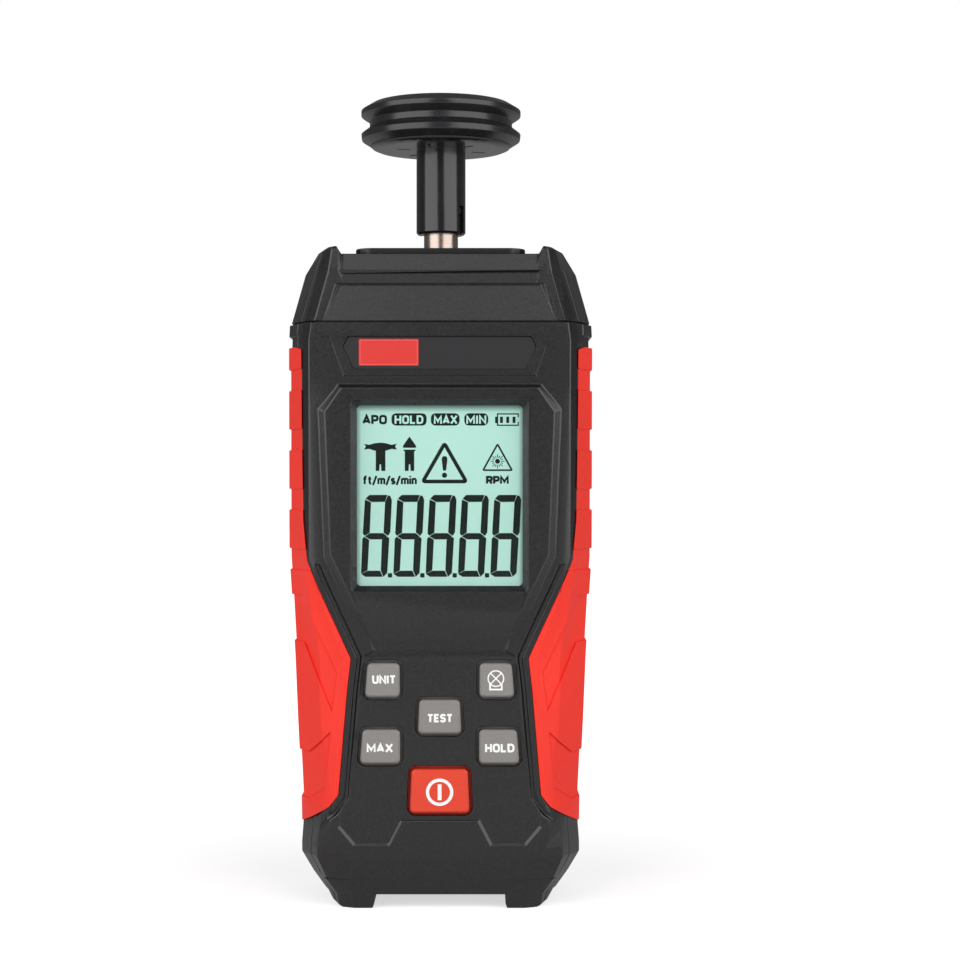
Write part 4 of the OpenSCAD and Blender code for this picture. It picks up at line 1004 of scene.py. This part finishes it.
class TACHO_OT_display(bpy.types.Operator):
    """Window, liquid crystal panel, and every symbol that the display can show"""
    bl_idname = "tacho.display"
    bl_label = "Display"

    def execute(self, context):
        thick = context.scene.tachometer_look.print_height / MM
        for node in ("display_window", "lcd_panel", "backlight"):
            finished(node)
        finished("lcd_holder", 0.08)
        dress("contact_strips")
        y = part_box("lcd_panel")[0].y / MM
        row = Repeat("digits")
        start, step = (DIGIT_START[0], 0, DIGIT_START[1]), (DIGIT_PITCH, 0, 0)
        segments = [rounded(grown(points, 0.06), 0.12, 2) for points in DIGIT.values()]
        x, z, half = POINT
        point = rounded(oblong(x - half, z - half, x + half, z + half), 0.12, 2)
        films = {
            "digits": row.made(film("digit", segments, y, thick), 5, start, step,
                               "display_ink"),
            "points": row.made(film("point", [point], y, thick), 4, start, step,
                               "display_ink"),
            "symbols": film("display_symbols", self.symbols(), y, thick),
            "words": film("display_words", sum((word(*w) for w in DARK_WORDS), []), y, thick)}
        for name, mesh in films.items():
            place("display_" + name, mesh, "case", "display_glass", "display_ink")
        pale = film("display_pill_words", sum((word(*w) for w in PALE_WORDS), []), y - thick,
                    thick * 0.5)
        place("display_pill_words", pale, "case", "display_glass", "display_reverse")
        return {"FINISHED"}

    def symbols(self):
        """Pills, battery, wheel and cone adapters, and two triangles, as outlines."""
        def drawn(points):
            return [(DRAWING_CORNER[0] + x * DRAWING_POINT, DRAWING_CORNER[1] - z * DRAWING_POINT)
                    for x, z in points]

        shapes = [rounded(drawn(oblong(*pill)), 1.0, 6) for pill in PILLS]
        shapes += stroke(drawn(BATTERY), 0.24)
        shapes += [drawn(oblong(*bar)) for bar in [BATTERY_CAP] + BATTERY_BARS]
        shapes.append(drawn(WHEEL_HEAD))
        for left, right, slot in STEMS:
            shapes.append(drawn([(left, 462), (right, 462), (right, 594), (slot + 7, 594),
                                 (slot + 4, 551), (slot - 4, 551), (slot - 7, 594),
                                 (left, 594)]))
        shapes += [drawn(CONE_HEAD), drawn(CONE_COLLAR)]
        for corners, width in TRIANGLES:
            shapes += stroke(rounded(drawn(corners), width * 0.7, 4), width, closed=True)
        shapes.append(rounded(drawn(EXCLAMATION), 0.2, 3))
        shapes += [drawn(round_dot(*EXCLAMATION_DOT)), drawn(round_dot(*BURST))]
        x, z, _ = BURST
        for k in range(16):
            angle = 2 * math.pi * k / 16
            shapes += stroke(drawn([(x + r * math.cos(angle), z + r * math.sin(angle))
                                    for r in (RAY_START, RAY_ENDS[k % 2])]), 0.15)
        return shapes


# Legend of each key: text, centre in x and z, width, height, weight and gap
LEGENDS = {"unit": ("UNIT", -10.73, 44.69, 4.60, 1.66, 0.40, 0.16),
           "test": ("TEST", 0.06, 37.23, 4.95, 1.66, 0.41, 0.16),
           "max": ("MAX", -11.54, 31.46, 5.10, 1.70, 0.41, 0.16),
           "hold": ("HOLD", 11.61, 31.46, 5.70, 1.70, 0.41, 0.16)}
# Lamp: its centre, radius, line and half width, base line, and the base's top and bottom
LAMP = (10.87, 44.87)
LAMP_RADIUS, LAMP_LINE = 1.5, 0.25
LAMP_BASE, LAMP_BASE_TOP, LAMP_BASE_LOW, LAMP_BASE_LINE = 1.13, 1.10, 2.12, 0.34
# Power symbol: its centre, its ring's radius and line, and its bar's half height and line
POWER = (0.0, 22.93)
POWER_RADIUS, POWER_LINE = 2.33, 0.62
BAR_REACH, BAR_LINE = 1.53, 0.74


class TACHO_OT_keys(bpy.types.Operator):
    """Six key caps with their printed legends, each riding on its key"""
    bl_idname = "tacho.keys"
    bl_label = "Keys"

    def execute(self, context):
        thick = context.scene.tachometer_look.print_height / MM
        marks = {key: word(*legend) for key, legend in LEGENDS.items()}
        marks.update(lamp=self.lamp(*LAMP), power=self.power(*POWER))
        for key in ("unit", "lamp", "test", "max", "hold", "power"):
            node = "button_" + key
            finished(node, 0.22, 3)
            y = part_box(node)[0].y / MM
            place("legend_" + key, film(key, marks[key], y, thick), BODY_OF[node],
                  SLOT_OF[node], "legend_ink")
        return {"FINISHED"}

    def lamp(self, x, z):
        """Crossed circle on a base."""
        shapes = ring(x, z, LAMP_RADIUS, LAMP_LINE)
        reach = LAMP_RADIUS * math.sqrt(0.5)
        for rise in (-reach, reach):
            shapes += stroke([(x - reach, z - rise), (x + reach, z + rise)], LAMP_LINE)
        return shapes + stroke([(x - LAMP_BASE, z - LAMP_BASE_TOP),
                                (x - LAMP_BASE, z - LAMP_BASE_LOW),
                                (x + LAMP_BASE, z - LAMP_BASE_LOW),
                                (x + LAMP_BASE, z - LAMP_BASE_TOP)], LAMP_BASE_LINE)

    def power(self, x, z):
        """Ring with an upright bar."""
        bar = stroke([(x, z - BAR_REACH), (x, z + BAR_REACH)], BAR_LINE)
        return ring(x, z, POWER_RADIUS, POWER_LINE, 64) + bar


# Tread of the tyre from its lower to its upper edge: shares of the groove's depth, inwards,
# and of the tyre's height
TREAD_SHARES = [(1.06, 0), (0.08, 0.13), (0, 0.27), (1, 0.43), (1, 0.58), (0, 0.72),
                (0, 0.84), (1.28, 1)]
GROOVE_DEPTH = 1.7
TYRE_DEPTH = 2.8
TYRE_STEPS = 192
TYRE_ANGLE, TYRE_SMOOTH = math.radians(14), math.radians(40)


class TACHO_OT_wheel(bpy.types.Operator):
    """Surface-speed adapter: tyre turned from its profile, hub with sleeve"""
    bl_idname = "tacho.wheel"
    bl_label = "Wheel"

    def execute(self, context):
        low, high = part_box("wheel_tyre")
        radius, base, height = high.x / MM, low.z / MM, (high.z - low.z) / MM
        inner = radius - TYRE_DEPTH
        profile = ([(inner, 0)]
                   + [(radius - d * GROOVE_DEPTH, h) for d, h in TREAD_SHARES]
                   + [(inner, 1)])
        rings = [[(x, y, base + h * height) for x, y in round_dot(0, 0, r, TYRE_STEPS)]
                 for r, h in profile]
        tyre = place("wheel_tyre_finished", skinned("tyre", rings), BODY_OF["wheel_tyre"],
                     "tyre_rubber")
        edges = tyre.modifiers.new("edges", "BEVEL")
        edges.width, edges.segments = 0.10 * MM, 3
        edges.limit_method, edges.angle_limit = "ANGLE", TYRE_ANGLE
        baked(tyre)
        smoothed(tyre, TYRE_SMOOTH)
        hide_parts("wheel_tyre")
        finished("wheel_hub", 0.06)
        return {"FINISHED"}


class TACHO_OT_shaft(bpy.types.Operator):
    """Measuring shaft with its pin, clip and slotted disc, and the bearings"""
    bl_idname = "tacho.shaft"
    bl_label = "Shaft"

    def execute(self, context):
        for node, width in (("drive_shaft", 0.06), ("drive_pin", 0.05), ("shaft_clip", 0.05),
                            ("encoder_disc", 0.05), ("upper_bearing", 0.08),
                            ("lower_bearing", 0.08), ("bearing_block", 0.12)):
            finished(node, width)
        return {"FINISHED"}


class TACHO_OT_electronics(bpy.types.Operator):
    """Boards with their parts, the key switches and the light barrier"""
    bl_idname = "tacho.electronics"
    bl_label = "Electronics"

    def execute(self, context):
        for node in ("main_board", "sensor_board", "key_switches", "light_barrier",
                     "board_connector", "board_parts"):
            finished(node, 0.06)
        finished("controller_chip", 0.03, 1)
        return {"FINISHED"}


class TACHO_OT_batteries(bpy.types.Operator):
    """Three cells with plain jackets and their contacts"""
    bl_idname = "tacho.batteries"
    bl_label = "Batteries"

    def execute(self, context):
        for node in ("battery_left", "battery_middle", "battery_right"):
            finished(node, 0.10)
        finished("contact_springs", 0.05)
        finished("contact_plates", 0.06)
        return {"FINISHED"}


class TACHO_OT_screws(bpy.types.Operator):
    """Every screw, with its edges broken"""
    bl_idname = "tacho.screws"
    bl_label = "Screws"

    def execute(self, context):
        for node in ("door_screw", "case_screws", "head_screws", "board_screws",
                     "block_screws"):
            finished(node, 0.08)
        return {"FINISHED"}


class TACHO_PT_panel(bpy.types.Panel):
    """Lists the operators and the settings"""
    bl_label = "Tachometer"
    bl_idname = "TACHO_PT_panel"
    bl_space_type = "VIEW_3D"
    bl_region_type = "UI"
    bl_category = "Tachometer"

    def draw(self, context):
        layout = self.layout
        for settings in (context.scene.tachometer_look, context.scene.tachometer_stage):
            column = layout.column()
            for name in settings.__annotations__:
                column.prop(settings, name)
        for operator in OPERATORS:
            layout.operator(operator.bl_idname)


OPERATORS = (TACHO_OT_stage, TACHO_OT_case, TACHO_OT_grips, TACHO_OT_badge,
             TACHO_OT_display, TACHO_OT_keys, TACHO_OT_wheel, TACHO_OT_shaft,
             TACHO_OT_electronics, TACHO_OT_batteries, TACHO_OT_screws)
CLASSES = (TachometerLook, TachometerStage) + OPERATORS + (TACHO_PT_panel,)


def register():
    for kind in CLASSES:
        bpy.utils.register_class(kind)
    bpy.types.Scene.tachometer_look = bpy.props.PointerProperty(type=TachometerLook)
    bpy.types.Scene.tachometer_stage = bpy.props.PointerProperty(type=TachometerStage)


def unregister():
    del bpy.types.Scene.tachometer_look
    del bpy.types.Scene.tachometer_stage
    for kind in reversed(CLASSES):
        bpy.utils.unregister_class(kind)


def main():
    register()
    make_finishes(bpy.context.scene.tachometer_look)
    for operator in OPERATORS:
        group, name = operator.bl_idname.split(".")
        getattr(getattr(bpy.ops, group), name)()


if __name__ == "__main__":
    main()
